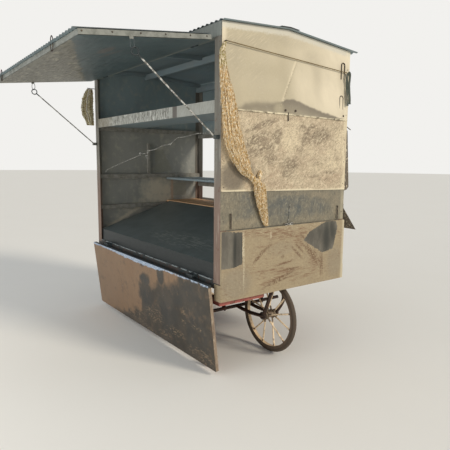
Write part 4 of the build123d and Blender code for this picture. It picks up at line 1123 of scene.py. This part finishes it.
# Top of the buckle and of the strip of painted shade and reflection below it, as distance and height on the
# closed end, in millimetres
BUCKLE = (
    (-240, 1806), (-103, 1818), (-46, 1848), (39, 1862), (172, 1866), (264, 1882), (311, 1902), (365, 1908),
    (420, 1899), (500, 1878), (563, 1863), (727, 1833), (899, 1806), (985, 1796),
)

# Heights of the seams of the closed end at its front and back edges, as in the photo, in millimetres
SEAMS = {"end_upper": (1803, 1793), "end_middle": (1279, 1258)}


def foot_cut(node):
    """The slanting cut along the foot of an end sheet, in the sheet's own plane."""
    low = low_of(node).z
    front, back = (z * MM - low for z in SEAMS[node])
    slope = atan2(back - front, WIDTH)
    return (Vector((0, front, 0)), Vector((sin(slope), -cos(slope), 0)))


def above_foot(node, u, v):
    """Height of a place of an end sheet above its own slanting foot."""
    front, back = (z * MM - low_of(node).z for z in SEAMS[node])
    return v - front - (back - front) * u / WIDTH


class CART_OT_end_sheets(bpy.types.Operator):
    """Buckled upper sheet, scoured middle sheet and dull band of the closed end"""

    bl_idname = "cart.end_sheets"
    bl_label = "End sheets"

    def execute(self, context):
        sizes = context.scene.cart_sizes
        low = low_of("end_upper").z

        def arch(u):
            return profile(BUCKLE, (u + FRONT) / MM) * MM - low

        def crease_at(v):
            return 0.512 + (v - 0.104) * 0.45

        def upper(u, v):
            top = arch(u)
            bulge = v / top if v < top else exp(-(v - top) / 0.16)
            edge = smooth(0, 0.10, min(u, WIDTH - u))
            foot = above_foot("end_upper", u, v)
            lip = 0.4 * max(0.0, bumps(u, 0, 0.06, 4)) * (1 - smooth(0.0, 0.03, foot))
            line = exp(-((u - crease_at(v)) / 0.008) ** 2)
            crease = line * smooth(0.09, 0.11, v) * (1 - smooth(0.36, 0.42, v))
            wave = 0.35 * (0.5 + 0.5 * bumps(u, v * 0.35, 0.22, 1)) * held(u, v, WIDTH, 0.56)
            return sizes.buckle * (bulge * edge + lip + wave + 0.25 * crease)

        # Painted shade and reflection on the strip below the buckle
        def dull_strip(u, v):
            if v > 0.2:
                return 0.0
            left = smooth(0.52, 0.36, u)
            below = arch(u) - v + 0.004 * bumps(u, v, 0.03, 2)
            soft = 0.007 + 0.022 * left
            notch = 1 - 0.7 * smooth(1.5, 0.4, hypot((u - 0.482) / 0.045, (v - 0.062) / 0.040))
            deep = 0.62 + 0.38 * smooth(0.09, 0.0, below)
            return smooth(-soft, soft, below) * deep * notch * smooth(0.08, 0.16, u) * (1 - 0.2 * left)

        def crease_line(u, v):
            line = smooth(0.014, 0.004, abs(u - crease_at(v)))
            return line * smooth(0.05, 0.09, v) * smooth(0.40, 0.30, v)

        def rim(u, v):
            left = (GABLE_RIDGE - GABLE_FRONT) / (RIDGE_Y - FRONT)
            right = (GABLE_RIDGE - GABLE_BACK) / (BACK - RIDGE_Y)
            y = u + FRONT
            top = GABLE_RIDGE - (left * (RIDGE_Y - y) if y < RIDGE_Y else right * (y - RIDGE_Y))
            return smooth(0.060, 0.020, top - v - low)

        # Painted sunlit glow in soft spots, added below to a rise towards the right
        glow = smears(
            (500, 1985, 110, 130, 12, 0.30), (850, 2272, 90, 46, -12, 0.5), (700, 1960, 200, 120, 0, 0.3),
            (-224, 2255, 18, 80, 0, 1.0), (150, 2180, 130, 60, 10, 0.2), (100, 1990, 150, 50, 0, 0.12),
            soft=0.9,
        )

        def clear(y, z):
            place = y / MM + 0.22 * (z / MM - 2000)
            return min(1.0, 0.42 * smooth(290, 470, place) + 0.42 * smooth(470, 900, place) + glow(y, z))

        grey = smears(
            (-150, 2170, 80, 150, 8, 0.8), (10, 2258, 150, 46, 0, 0.9), (300, 2290, 220, 40, 0, 0.7),
            (620, 2085, 50, 120, 6, 0.6), (560, 2215, 80, 50, -8, 0.5), (880, 2120, 34, 110, 4, 0.5),
            (60, 2050, 90, 100, 8, 0.5), soft=0.8,
        )

        # The lower lip, for its painted highlight and the painted shadow between its dashes
        def lip_line(u, v):
            return smooth(0.011, 0.007, above_foot("end_upper", u, v))

        piece(
            sheet_metal(
                END_PLACE["end_upper"], WIDTH, GABLE_RIDGE - low, 0.0060, upper,
                {
                    # dull carries the painted shade and reflection, clear the painted sunlit glow, lip the
                    # painted highlight and shadow of the lower lip
                    "dull": dull_strip, "crease": crease_line, "rim": rim, "clear": on_face(clear, low),
                    "grey": on_face(grey, low), "lip": lip_line,
                },
                cuts=(*gable_cuts(1, low), foot_cut("end_upper")),
            ),
            "upper_sheet", "cart", finish_of(sunlit_galvanised_sheet), ("end_upper",),
        )

        middle_low = low_of("end_middle").z
        middle_height = high_of("end_middle").z - middle_low + 0.012

        def middle(u, v):
            dents = sizes.dent * (0.5 + 0.5 * bumps(u, v, 0.16, 5)) * held(u, v, WIDTH, middle_height)
            foot = above_foot("end_middle", u, v)
            return dents + sizes.dent * (1 - smooth(0, 0.016, foot)) * (0.8 + 0.3 * bumps(u, 0, 0.2, 6))

        scour = smears(
            (115, 1722, 120, 22, 17, 0.9), (55, 1622, 130, 34, 20, 0.95), (240, 1645, 60, 40, 24, 0.85),
            (560, 1728, 140, 18, 2, 0.75), (530, 1655, 34, 90, -32, 0.8), (655, 1655, 140, 50, 10, 0.9),
            (90, 1560, 140, 44, 12, 0.75), (190, 1500, 80, 40, 0, 0.6), (380, 1450, 90, 52, 0, 0.85),
            (345, 1390, 46, 36, 0, 0.85), (673, 1458, 60, 20, 0, 0.7), (793, 1394, 60, 13, 0, 0.75),
            (737, 1342, 70, 13, 0, 0.6), (610, 1368, 80, 12, 6, 0.5), (862, 1600, 13, 120, 0, 0.5),
            (480, 1560, 60, 40, 0, 0.5), (850, 1725, 70, 12, 0, 0.5), (20, 1690, 70, 14, 20, 0.7),
            soft=0.75,
        )
        middle_clear = smears(
            (375, 1632, 92, 88, 0, 1.0), (905, 1620, 60, 120, 0, 0.9), (790, 1450, 190, 46, 0, 0.85),
            (420, 1745, 90, 18, 0, 0.6), (-60, 1745, 120, 22, 0, 0.5), (790, 1540, 60, 60, 0, 0.7),
            (-140, 1296, 80, 20, 8, 1.0), (-190, 1560, 40, 160, 0, 0.7), (560, 1560, 70, 70, 0, 0.5),
            soft=0.6,
        )
        middle_stain = smears(
            (235, 1380, 80, 95, 0, 1.0), (820, 1350, 150, 40, 0, 0.9), (560, 1480, 110, 30, 0, 0.5),
            (650, 1650, 120, 40, 8, 0.5), (330, 1300, 90, 30, 0, 0.6), (40, 1480, 80, 40, 0, 0.5),
        )

        # The lower lip of the middle sheet, for its painted highlight
        def middle_lip(u, v):
            return smooth(0.010, 0.006, above_foot("end_middle", u, v))

        oily = smears((-140, 1372, 105, 105, 0, 1.0), (-20, 1400, 60, 70, -20, 0.7))
        piece(
            sheet_metal(
                END_PLACE["end_middle"], WIDTH, middle_height, 0.009, middle,
                {
                    "dull": on_face(oily, middle_low), "scour": on_face(scour, middle_low),
                    "clear": on_face(middle_clear, middle_low),
                    "stain": on_face(middle_stain, middle_low), "lip": middle_lip,
                },
                cuts=(foot_cut("end_middle"),),
            ),
            "middle_sheet", "cart", finish_of(scoured_galvanised_sheet), ("end_middle",),
        )

        band_low = low_of("end_band").z
        band_height = high_of("end_band").z - band_low + 0.018

        def band(u, v):
            swell = 0.5 + 0.5 * bumps(u, v * 0.4, 0.14, 7)
            dents = 0.7 * sizes.dent * swell * held(u, v, WIDTH, band_height, 0.06)
            lip = 1.4 * sizes.dent * max(0.0, bumps(u, 0, 0.11, 8)) * (1 - smooth(0, 0.03, v))
            return dents + lip

        dark = smears(
            (350, 1150, 200, 80, 0, 0.95), (650, 1140, 130, 70, 0, 0.7), (-15, 1180, 60, 95, 0, 0.65),
            (500, 1190, 120, 46, 0, 0.6), soft=0.7,
        )
        haze = smears(
            (720, 1222, 130, 26, -6, 0.9), (-70, 1056, 170, 34, 4, 0.9), (890, 1140, 60, 90, 0, 0.7),
            (120, 1110, 50, 80, 0, 0.45), (-190, 1200, 50, 60, 0, 0.5), (640, 1052, 160, 18, 0, 0.6),
            (430, 1240, 120, 12, 0, 0.6), soft=0.6,
        )
        piece(
            sheet_metal(
                END_PLACE["end_band"], WIDTH, band_height, 0.012, band,
                {"dark": on_face(dark, band_low), "haze": on_face(haze, band_low)},
            ),
            "band_sheet", "cart", finish_of(dull_galvanised_sheet), ("end_band",),
        )
        return {"FINISHED"}


class CART_OT_skirt(bpy.types.Operator):
    """Dusty skin of the drop flap, with painted dark reflections in two places"""

    bl_idname = "cart.skirt"
    bl_label = "Drop flap skin"

    def execute(self, context):
        sizes = context.scene.cart_sizes
        bottom, top = low_of("end_flap").z, high_of("end_flap").z
        face = high_of("end_flap").x + 0.3 * MM
        height = top - bottom

        def skin(u, v):
            fold = 0.25 * exp(-((u - 0.190) / 0.006) ** 2)
            return sizes.dent * ((0.5 + 0.5 * bumps(u, v, 0.2, 9)) * held(u, v, WIDTH, height, 0.06) + fold)

        # Outlines of the two patches of painted dark reflection
        left = patch(9, (-250, 1020), (-66, 1001), (-62, 782), (-125, 768), (-250, 764))
        right = patch(
            9, (585, 953), (778, 1022), (884, 1012), (898, 966), (852, 797), (732, 775), (521, 893),
        )

        def wiped(y, z):
            return max(left(y, z), right(y, z))

        # Streaks of painted sheen in the reflection patches
        streak = smears(
            (-128, 890, 16, 150, 0, 1.0), (-92, 890, 24, 150, 0, 0.55), (775, 900, 40, 140, 3, 0.9),
            (840, 940, 40, 90, 12, 0.8), (-66, 890, 7, 120, 0, 0.9), (690, 960, 110, 60, 20, 0.35),
            soft=0.7,
        )
        scrape = smears(
            (60, 985, 200, 26, -3, 0.8), (290, 962, 190, 42, -6, 0.85), (505, 965, 60, 36, -20, 0.7),
            (470, 905, 50, 76, 30, 0.6), (300, 692, 240, 18, -4, 0.9), (350, 672, 130, 12, 0, 0.8),
            (210, 632, 130, 14, 10, 0.9), (430, 642, 90, 12, 6, 0.7), (330, 745, 90, 8, 6, 0.8),
            (560, 620, 160, 14, 8, 0.8), (640, 700, 70, 60, -30, 0.6), (200, 900, 160, 14, 8, 0.5),
            soft=0.6,
        )
        arc = smears(
            (100, 826, 80, 9, 38, 1.0), (70, 812, 50, 8, 42, 0.9), (150, 868, 60, 8, 22, 1.0),
            (455, 806, 80, 9, -42, 1.0), (482, 836, 64, 8, -42, 1.0), (560, 826, 90, 9, -40, 1.0),
            (610, 800, 95, 10, -48, 1.0), (640, 748, 84, 9, -50, 1.0), (670, 760, 84, 9, -56, 0.9),
            (312, 793, 15, 10, 0, 1.0), (715, 700, 9, 110, 3, 0.9), (735, 690, 8, 90, 3, 0.8),
            (590, 780, 74, 8, -44, 0.9), (540, 900, 64, 9, -36, 0.9), (300, 640, 130, 9, 12, 1.0),
            (260, 612, 130, 8, 10, 1.0), (400, 690, 90, 8, 4, 1.0), (330, 742, 90, 8, 8, 0.9),
        )
        # Thin lines of painted highlight
        line = smears((-48, 800, 4, 210, 0, 0.8), (-60, 915, 4, 90, 0, 1.0), (190, 960, 4, 26, 0, 1.0))
        grey = smears(
            (-120, 650, 130, 110, 0, 1.0), (880, 690, 90, 120, 0, 0.8), (300, 850, 120, 50, 0, 0.4),
        )
        piece(
            sheet_metal(
                placed(Vector((face, FRONT, bottom)), AXES["Y"], AXES["Z"]), WIDTH, height, 0.009, skin,
                {
                    "bare": on_face(wiped, bottom), "streak": on_face(streak, bottom),
                    "scrape": on_face(scrape, bottom), "grey": on_face(grey, bottom),
                    "arc": on_face(arc, bottom), "line": on_face(line, bottom),
                },
            ),
            "skirt_skin", "end_flap", finish_of(dusty_skirt_sheet),
        )
        return {"FINISHED"}


class CART_OT_walls(bpy.types.Operator):
    """Far end and back walls of thin sheet, the back one with its openings"""

    bl_idname = "cart.walls"
    bl_label = "Far and back walls"

    def execute(self, context):
        sizes = context.scene.cart_sizes
        bottom = low_of("far_wall").z
        height = GABLE_RIDGE - bottom

        def soft(seed, width):
            def dents(u, v):
                return sizes.dent * 0.6 * (0.4 + bumps(u, v, 0.3, seed)) * held(u, v, width, height)
            return dents

        def from_back(mark):
            return lambda u, v: mark(BACK - u, v + bottom)

        window = patch(12, (414, 1583), (511, 1585), (640, 1360), (410, 1335))
        panel = patch(8, (618, 1225), (801, 1225), (801, 1086), (618, 1086))

        def pale(y, z):
            return max(0.8 * window(y, z), panel(y, z))

        # A pale wash over the far wall, with bands on a slant low down
        dusty = smears(
            (450, 1130, 190, 150, 0, 1.0), (200, 1000, 260, 60, 27, 0.5), (80, 905, 320, 18, 27.4, 1.0),
            (520, 1600, 60, 160, 0, 0.3), soft=0.7,
        )
        flecks = smears(
            (60, 1296, 130, 9, -3, 1.0), (330, 1292, 110, 8, 5, 1.0), (-20, 1302, 60, 7, 0, 0.8),
        )
        post = patch(5, (604, 1310), (640, 1310), (640, 1040), (604, 1040))
        far_x = low_of("far_wall").x + 1.5 * MM
        piece(
            sheet_metal(
                placed(Vector((far_x, BACK, bottom)), -AXES["Y"], AXES["Z"]), WIDTH, height, 0.014,
                soft(11, WIDTH),
                {
                    "pale": from_back(pale), "dusty": from_back(dusty), "flecks": from_back(flecks),
                    "strip": from_back(post),
                },
                (), gable_cuts(-1, bottom),
            ),
            "far_wall_sheet", "cart", finish_of(shiny_inner_sheet), ("far_wall",),
        )
        low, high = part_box("back_wall")
        length = high.x - low.x
        window_start = low.x + 0.074
        start, stop = high.x - window_start - 0.391, high.x - window_start
        back_holes = [(start, stop, z0 - low.z, z1 - low.z) for z0, z1 in ((1.275, 1.757), (1.057, 1.206))]
        hand_wiped = smears((900, 700, 260, 200, 0, 0.7), (1500, 500, 240, 160, 0, 0.5))
        piece(
            sheet_metal(
                placed(Vector((high.x, low.y + 0.5 * MM, low.z)), -AXES["X"], AXES["Z"]), length,
                high.z - low.z, 0.022, soft(12, length), {"dusty": hand_wiped}, back_holes,
            ),
            "back_wall_sheet", "cart", finish_of(shiny_inner_sheet), ("back_wall",),
        )
        return {"FINISHED"}


# The awning at rest: its tilt, the directions up along it and out of it, and its hinge line
AWNING_TILT = radians(6.9)
AWNING_UP = Vector((0, cos(AWNING_TILT), sin(AWNING_TILT)))
AWNING_OUT = Vector((0, -sin(AWNING_TILT), cos(AWNING_TILT)))
AWNING_HINGE = Vector((0, FRONT - 0.034, 2.236))


class CART_OT_awning(bpy.types.Operator):
    """Rippled tin below the awning, nails along its frame, wire eyes on its rim and links for the stays"""

    bl_idname = "cart.awning"
    bl_label = "Awning tin and fixings"

    def execute(self, context):
        sizes = context.scene.cart_sizes
        low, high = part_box("awning_tin")
        length, depth = high.x - low.x, 0.844
        reach, below = 0.860, 15.8 * MM
        origin = AWNING_HINGE - AWNING_UP * reach - AWNING_OUT * below
        origin.x = low.x

        def rippled(u, v):
            wave = bumps(u * 0.35, v, 0.03, 13) + 0.6 * bumps(u, v, 0.2, 14)
            rough = smooth(1.9, 0.9, u)
            swell = 0.5 + 0.5 * wave * (0.3 + 0.7 * rough)
            return -sizes.ripple * swell * held(u, v, length, depth, 0.05)

        # Where the brown film ends and the slate of painted shade and dark reflection begins
        def brown(u, v):
            return smooth(-0.035, 0.035, reach - v - 0.075 - 0.41 * u)

        smudge = smears((1610, 320, 110, 40, 0, 1.0), (1500, 400, 130, 16, 10, 0.8))
        piece(
            sheet_metal(
                placed(origin, AXES["X"], AWNING_UP), length, depth, 0.010, rippled,
                {"brown": brown, "smudge": smudge},
            ),
            "awning_underside", "awning", finish_of(stained_awning_tin), ("awning_tin",),
        )
        frame_low, frame_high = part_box("awning_frame")

        def on_awning(x, out, lift):
            spot_on = AWNING_HINGE - AWNING_UP * out + AWNING_OUT * lift
            return Vector((x, spot_on.y, spot_on.z))

        nails = [on_awning(frame_high.x, out, 4 * MM) for out in (0.05, 0.17, 0.34, 0.50, 0.67, 0.84)]
        piece(heads(nails, AXES["X"], sizes.nail_head / 2), "awning_nails", "awning", finish_of(dark_iron))
        ring = turns(20)
        rim = [
            [
                on_awning(x, 0.866, 0) + Vector((24 * MM * cos(a), -4 * MM, 44 * MM * sin(a) + 14 * MM))
                for a in ring
            ]
            for x in (0.558, -0.79)
        ]
        piece(tubes(rim, 3 * MM, 4, closed=True), "awning_eyes", "awning", finish_of(dark_iron))
        half_link = 30 * MM
        for stay, x in (("stay_near", frame_high.x), ("stay_far", frame_low.x)):
            inside = -1 if x > 0 else 1
            side = x + inside * 2.5 * MM
            top = on_awning(side, 0.556, -20 * MM)
            middle = top - Vector((0, 0, half_link))
            link = [
                middle + Vector((inside * -1.5 * MM * (1 - sin(a)), 13 * MM * cos(a), half_link * sin(a)))
                for a in ring
            ]
            wire = tubes([link], 2.2 * MM, 4, closed=True)
            made = piece(wire, stay.replace("stay", "awning_link"), "awning", finish_of(smoked_iron))
            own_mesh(made)
        return {"FINISHED"}


class CART_OT_flap(bpy.types.Operator):
    """Shiny sheet of the hanging serving flap"""

    bl_idname = "cart.flap"
    bl_label = "Serving flap sheet"

    def execute(self, context):
        sizes = context.scene.cart_sizes
        lean = radians(6.5)
        up, out = Vector((0, -sin(lean), cos(lean))), Vector((0, -cos(lean), -sin(lean)))
        low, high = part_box("flap_sheet")
        length, height = high.x - low.x, 0.623
        reach, clear = 0.638, 28.6
        hinge = Vector((low.x, FRONT - 0.042, 0.672))
        origin = hinge - up * reach + out * clear * MM

        def oilcan(u, v):
            return 1.2 * sizes.dent * (0.5 + 0.5 * bumps(u, v, 0.34, 15)) * held(u, v, length, height, 0.12)

        # Edge of the dark painted reflection, as distance from the far end and height above the flap's foot
        border = (
            (0, -60), (469, 10), (583, 61), (927, 156), (1020, 390), (1150, 392), (1290, 470), (1450, 505),
            (1550, 520), (1637, 580), (1660, 640), (2024, 700),
        )
        # Blots of dark painted reflection
        blots = smears(
            (1075, 465, 95, 52, 10, 1.0), (1360, 560, 55, 90, 0, 1.0), (1055, 590, 36, 22, 0, 0.8),
            (1090, 330, 150, 120, 0, 1.0), (17, 583, 16, 14, 0, 0.9),
        )

        def dark(u, v):
            edge = profile(border, u / MM) * MM + 0.03 * bumps(u, v, 0.08, 16)
            return max(smooth(-0.045, 0.045, edge - v), blots(u, v))

        # Deeper dark painted reflection
        deep = smears(
            (1417, 257, 150, 150, 0, 1.0), (1795, 500, 160, 90, 0, 0.9), (1809, 340, 130, 110, 0, 0.9),
            (1080, 460, 80, 44, 10, 0.9), (1090, 290, 110, 100, 0, 0.9), (1350, 549, 46, 80, 0, 0.9),
            (1600, 440, 150, 80, 0, 0.8), (1780, 160, 120, 110, 0, 0.7), (1930, 330, 60, 280, 0, 0.7),
            soft=0.7,
        )

        # Tan painted reflection of the ground, low on the flap
        low_tan = smears(
            (1500, 130, 150, 34, 4, 1.0), (1330, 60, 120, 26, 0, 0.8), (1180, 180, 140, 70, 0, 0.8),
            (850, 90, 170, 60, 12, 0.7), (1840, 265, 70, 16, 0, 1.0), (1665, 300, 30, 80, -10, 0.8),
            (1850, 60, 160, 60, 0, 0.7), (1000, 20, 200, 30, 0, 0.6),
        )

        # Band along the top for the bluish painted highlight
        def rubbed(u, v):
            line = height - 0.006 - 0.006 * bumps(u, 0, 0.15, 17)
            swell = 0.018 * smooth(0.35, 0.9, u) * smooth(1.5, 1.2, u)
            wide = 0.004 + swell + 0.006 * bumps(u, 0, 0.07, 18)
            return smooth(wide + 0.014, wide - 0.004, line - v) * (0.62 + 0.38 * smooth(1.6, 1.3, u))

        piece(
            sheet_metal(
                placed(origin, AXES["X"], up), length, height, 0.011, oilcan,
                {"dark": dark, "deep": deep, "rubbed": rubbed, "low_tan": low_tan},
            ),
            "flap_skin", "serving_flap", finish_of(worn_flap_sheet), ("flap_sheet",),
        )
        return {"FINISHED"}


# Flat width of each net in metres, and its area as a share of width times length; both are guesses
NET_WIDTH, NET_AREA_SHARE = 0.55, 0.62

# Height from which the golden net is olive, in metres; the far net has no such part
OLIVE_FROM, NO_OLIVE = 2.03, 9.0

# Stations down each net, in millimetres: distance from the serving plane, height, half width, half depth
CURTAIN = (
    (21, 2210, 9, 6), (-4, 2150, 21, 10), (-2, 2082, 26, 12), (10, 1999, 36, 16), (24, 1914, 47, 21),
    (38, 1830, 59, 26), (50, 1744, 66, 29), (66, 1657, 72, 31), (90, 1570, 78, 33), (134, 1481, 70, 31),
    (180, 1408, 53, 25), (228, 1372, 34, 21), (262, 1350, 30, 20), (300, 1322, 44, 22), (311, 1293, 50, 22),
    (330, 1196, 45, 20), (360, 1097, 32, 15), (388, 1028, 18, 9),
)
FAR_NET = (
    (48, 2152, 32, 12), (56, 2118, 50, 18), (70, 2053, 66, 20), (77, 1952, 73, 20), (62, 1862, 58, 18),
    (50, 1806, 42, 14),
)

# The tied end of the net that pokes up beside the knot
TUFT = (
    (296, 1322, 12, 9), (306, 1352, 20, 13), (316, 1385, 23, 14), (322, 1408, 15, 10), (325, 1420, 5, 4),
)


def gathered_net(stations, folds, centre, mesh_width, length_steps=150, steps=8, rag=0.0):
    """A net gathered into folds round a wandering line; centre gives the middle and axes of a station."""
    bm = bmesh.new()
    bm.loops.layers.uv.new("cloth")
    bmesh.ops.create_grid(bm, x_segments=folds * steps, y_segments=length_steps, size=0.5, calc_uvs=True)
    layer = bm.loops.layers.uv["cloth"]
    flat_length = sum((Vector(a[:2]) - Vector(b[:2])).length for a, b in zip(stations, stations[1:])) * MM
    for face in bm.faces:
        for loop in face.loops:
            u, v = loop.vert.co.x + 0.5, loop.vert.co.y + 0.5
            loop[layer].uv = (u * NET_WIDTH / mesh_width, v * flat_length / mesh_width)
    for v in bm.verts:
        u, share = v.co.x + 0.5, 0.5 - v.co.y
        middle, across, depth = centre(along(stations, share))
        turn = pi + 2 * pi * (0.01 + 0.98 * u)
        wander = 2.2 * noise.noise(Vector((u * 5, share * 7, 3)))
        fold = cos(2 * pi * folds * u + wander)
        reach = 0.74 + 0.26 * fold * (0.75 + 0.5 * noise.noise(Vector((u * folds, share * 9, 8))))
        ragged = 1 - rag * (
            1.4 * abs(noise.noise(Vector((share * 26, 2 * sin(turn), 21)))) + 0.4 * noise.random()
        )
        reach = min(1.0, reach) * ragged
        v.co = middle + across * reach * sin(turn) + depth * reach * cos(turn)
    return bm, flat_length


def net_threads(stations, centre, count, seed):
    """Routes of loose threads that run down the outside of a net."""
    routes = []
    for k in range(count):
        turn0 = 2 * pi * k / count
        start, stop = 0.04 + 0.08 * noise.random(), 0.90 + 0.09 * noise.random()
        route = []
        for i in range(41):
            share = start + (stop - start) * i / 40
            middle, across, depth = centre(along(stations, share))
            turn = turn0 + 1.1 * noise.noise(Vector((k * 0.7, share * 4, seed)))
            reach = 0.93 + 0.10 * noise.noise(Vector((k * 1.3, share * 12, seed + 5)))
            route.append(
                middle + across * min(1.02, reach) * sin(turn) + depth * min(1.0, reach) * cos(turn)
            )
        routes.append(route)
    return routes


def net_fuzz(stations, centre, count):
    """Short broken threads that stand off a net."""
    routes = []
    for _ in range(count):
        share, turn = 0.02 + 0.96 * noise.random(), 2 * pi * noise.random()
        route = []
        for i in range(4):
            middle, across, depth = centre(along(stations, min(0.99, share + 0.012 * i)))
            reach = 0.94 + 0.05 * i
            bend = turn + 0.1 * i
            route.append(middle + across * reach * sin(bend) + depth * min(1.0, reach) * cos(bend))
        routes.append(route)
    return routes


class CART_OT_nets(bpy.types.Operator):
    """Golden net curtain tied back across the closed end, and the small net at the far post"""

    bl_idname = "cart.nets"
    bl_label = "Nets"

    def execute(self, context):
        sizes = context.scene.cart_sizes
        noise.seed_set(7)

        def on_end(station):
            y_in, z, half_width, half_depth = station
            middle = Vector((END_FACE + (half_depth + 0.4) * MM, FRONT + y_in * MM, z * MM))
            return middle, Vector((0, half_width * MM, 0)), Vector((half_depth * MM, 0, 0))

        golden = finish_of(knotted_netting, "golden_netting", "net_gold", "net_light", 0.42, OLIVE_FROM)
        single = finish_of(knotted_netting, "golden_threads", "net_gold", "net_light", -1.0, OLIVE_FROM)
        bm, length = gathered_net(CURTAIN, sizes.net_folds, on_end, sizes.net_mesh)
        curtain = piece(bm, "golden_net", "cart", golden, ("net_curtain",), 180)
        loose = net_threads(CURTAIN, on_end, 56, 21) + net_fuzz(CURTAIN, on_end, 420)
        threads = piece(tubes(loose, 0.9 * MM, 2), "net_threads", "cart", single)
        tuft, _ = gathered_net(TUFT, 5, on_end, sizes.net_mesh, 24)
        tied = piece(tuft, "net_tuft", "cart", golden, sharp=180)

        def at_far_post(station):
            y_out, z, half_width, half_depth = station
            middle = Vector((low_of("far_wall").x - 5 * MM, FRONT - y_out * MM, z * MM))
            return middle, Vector((0, half_width * MM, 0)), Vector((half_depth * MM, 0, 0))

        olive = finish_of(knotted_netting, "olive_netting", "#9C9475", "#D6CFA8", 0.45, NO_OLIVE)
        bm, length = gathered_net(FAR_NET, 9, at_far_post, sizes.net_mesh, 60, rag=0.26)
        bunch = piece(bm, "far_net", "cart", olive, ("net_far",), 180)
        return {"FINISHED"}


# Route of the rope across the closed end, as in the part's source, in metres
ROPE_X = 1.0271
ROPE_ROUTE = [
    (ROPE_X, y, z) for y, z in ((-0.2135, 2.2140), (-0.1716, 2.2116), (0.9146, 2.1504), (0.9565, 2.1480))
]


class CART_OT_rope(bpy.types.Operator):
    """Twisted rope pulled tight across the closed end"""

    bl_idname = "cart.rope"
    bl_label = "Rope"

    def execute(self, context):
        sizes = context.scene.cart_sizes
        line = even(nurbs_points(ROPE_ROUTE), 3.5 * MM)
        strand = sizes.rope / 2 / 2.15
        bm = tubes(laid_strands(line, sizes.rope / 2 - strand, sizes.rope_lay), strand, 3)
        rope = piece(bm, "end_rope_strands", "cart", finish_of(twisted_fibre), ("end_rope",))
        return {"FINISHED"}


class CART_OT_fixings(bpy.types.Operator):
    """Rivets of the end sheets, wire at the hasp, rag on the rope and a kinked wire across the opening"""

    bl_idname = "cart.fixings"
    bl_label = "Rivets, wires and rag"

    def execute(self, context):
        sizes = context.scene.cart_sizes
        places = []
        for node in ("end_upper", "end_middle", "end_band"):
            low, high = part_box(node)
            for y in (FRONT + 0.022, BACK - 0.022):
                z = low.z + 0.06
                while z < min(high.z - 0.04, 2.29):
                    places.append(Vector((low.x + 1.2 * MM, y, z)))
                    z += 0.17
        piece(heads(places, AXES["X"], sizes.rivet_head / 2), "sheet_rivets", "cart", finish_of(dark_iron))

        bright = finish_of(drawn_steel_rod)
        band_x = high_of("end_band").x
        hang = ((0.382, 1.166), (0.374, 1.12), (0.377, 1.08), (0.366, 1.034))
        hasp = [[Vector((band_x + 3 * MM, y, z)) for y, z in hang]]
        for y, z, turn in ((0.345, 1.024, 0.2), (0.372, 1.026, -0.3), (0.400, 1.025, 0.1)):
            hasp.append([
                Vector((band_x + 9 * MM, y + 19 * MM * cos(a), z + 7 * MM * sin(a + turn)))
                for a in turns(14, 15)
            ])
        piece(tubes(hasp, 1.8 * MM, 3), "hasp_wire", "cart", bright)

        # Kinked steel wire strung across the opening: places along X and heights, in millimetres
        kinks = (
            (-918, 1352), (-914, 1374), (-560, 1446), (-200, 1512), (-150, 1530), (-60, 1528), (-20, 1552),
            (90, 1560), (210, 1590), (330, 1596), (430, 1640), (530, 1644), (700, 1662), (902, 1658),
        )
        lengthwise = [
            Vector((x * MM, (-215 - 6 * noise.noise(Vector((x * 0.01, 0, 1)))) * MM, z * MM))
            for x, z in kinks
        ]
        knots = [
            [
                Vector((x * MM, -0.215, z * MM))
                + Vector((11 * MM * cos(a), 5 * MM * sin(2 * a), 13 * MM * sin(a)))
                for a in turns(12, 13)
            ]
            for x, z in ((-170, 1524), (-40, 1540), (330, 1600), (-60, 1500))
        ]
        piece(tubes([lengthwise, *knots], 2 * MM, 3), "kinked_wire", "cart", bright)

        rag_x = ROPE_X + 6 * MM
        rag, flat = ribbon(
            [
                (rag_x, 0.952, 1.905), (rag_x, 0.946, 1.98), (rag_x + 0.002, 0.932, 2.06),
                (rag_x + 0.004, 0.926, 2.118), (rag_x + 0.006, 0.934, 2.146), (rag_x + 0.006, 0.950, 2.150),
                (rag_x + 0.004, 0.960, 2.125), (rag_x, 0.962, 2.06), (rag_x, 0.968, 1.99),
                (rag_x, 0.974, 1.918),
            ],
            24 * MM,
        )
        cloth = piece(rag, "rope_rag", "cart", finish_of(limp_rag))
        return {"FINISHED"}


class CART_PT_panel(bpy.types.Panel):
    """Hand cart panel in the sidebar"""

    bl_label = "Hand cart"
    bl_idname = "CART_PT_panel"
    bl_space_type = "VIEW_3D"
    bl_region_type = "UI"
    bl_category = "Hand cart"

    def draw(self, context):
        for operator in OPERATORS:
            self.layout.operator(operator.bl_idname)
        for group in (context.scene.cart_sizes, context.scene.cart_colours):
            column = self.layout.column(align=True)
            for name in group.__annotations__:
                column.prop(group, name)


OPERATORS = (
    CART_OT_stage, CART_OT_finishes, CART_OT_end_sheets, CART_OT_skirt, CART_OT_walls, CART_OT_awning,
    CART_OT_flap, CART_OT_nets, CART_OT_rope, CART_OT_fixings,
)
CLASSES = (CartSizes, CartColours, *OPERATORS, CART_PT_panel)


def register():
    """Add the classes and the scene's two property groups."""
    for each in CLASSES:
        bpy.utils.register_class(each)
    bpy.types.Scene.cart_sizes = PointerProperty(type=CartSizes)
    bpy.types.Scene.cart_colours = PointerProperty(type=CartColours)


def unregister():
    """Take the classes and the property groups away again."""
    del bpy.types.Scene.cart_sizes
    del bpy.types.Scene.cart_colours
    for each in reversed(CLASSES):
        bpy.utils.unregister_class(each)


def main():
    """Build everything in order."""
    register()
    for operator in OPERATORS:
        group, name = operator.bl_idname.split(".")
        getattr(getattr(bpy.ops, group), name)()


if __name__ == "__main__":
    main()
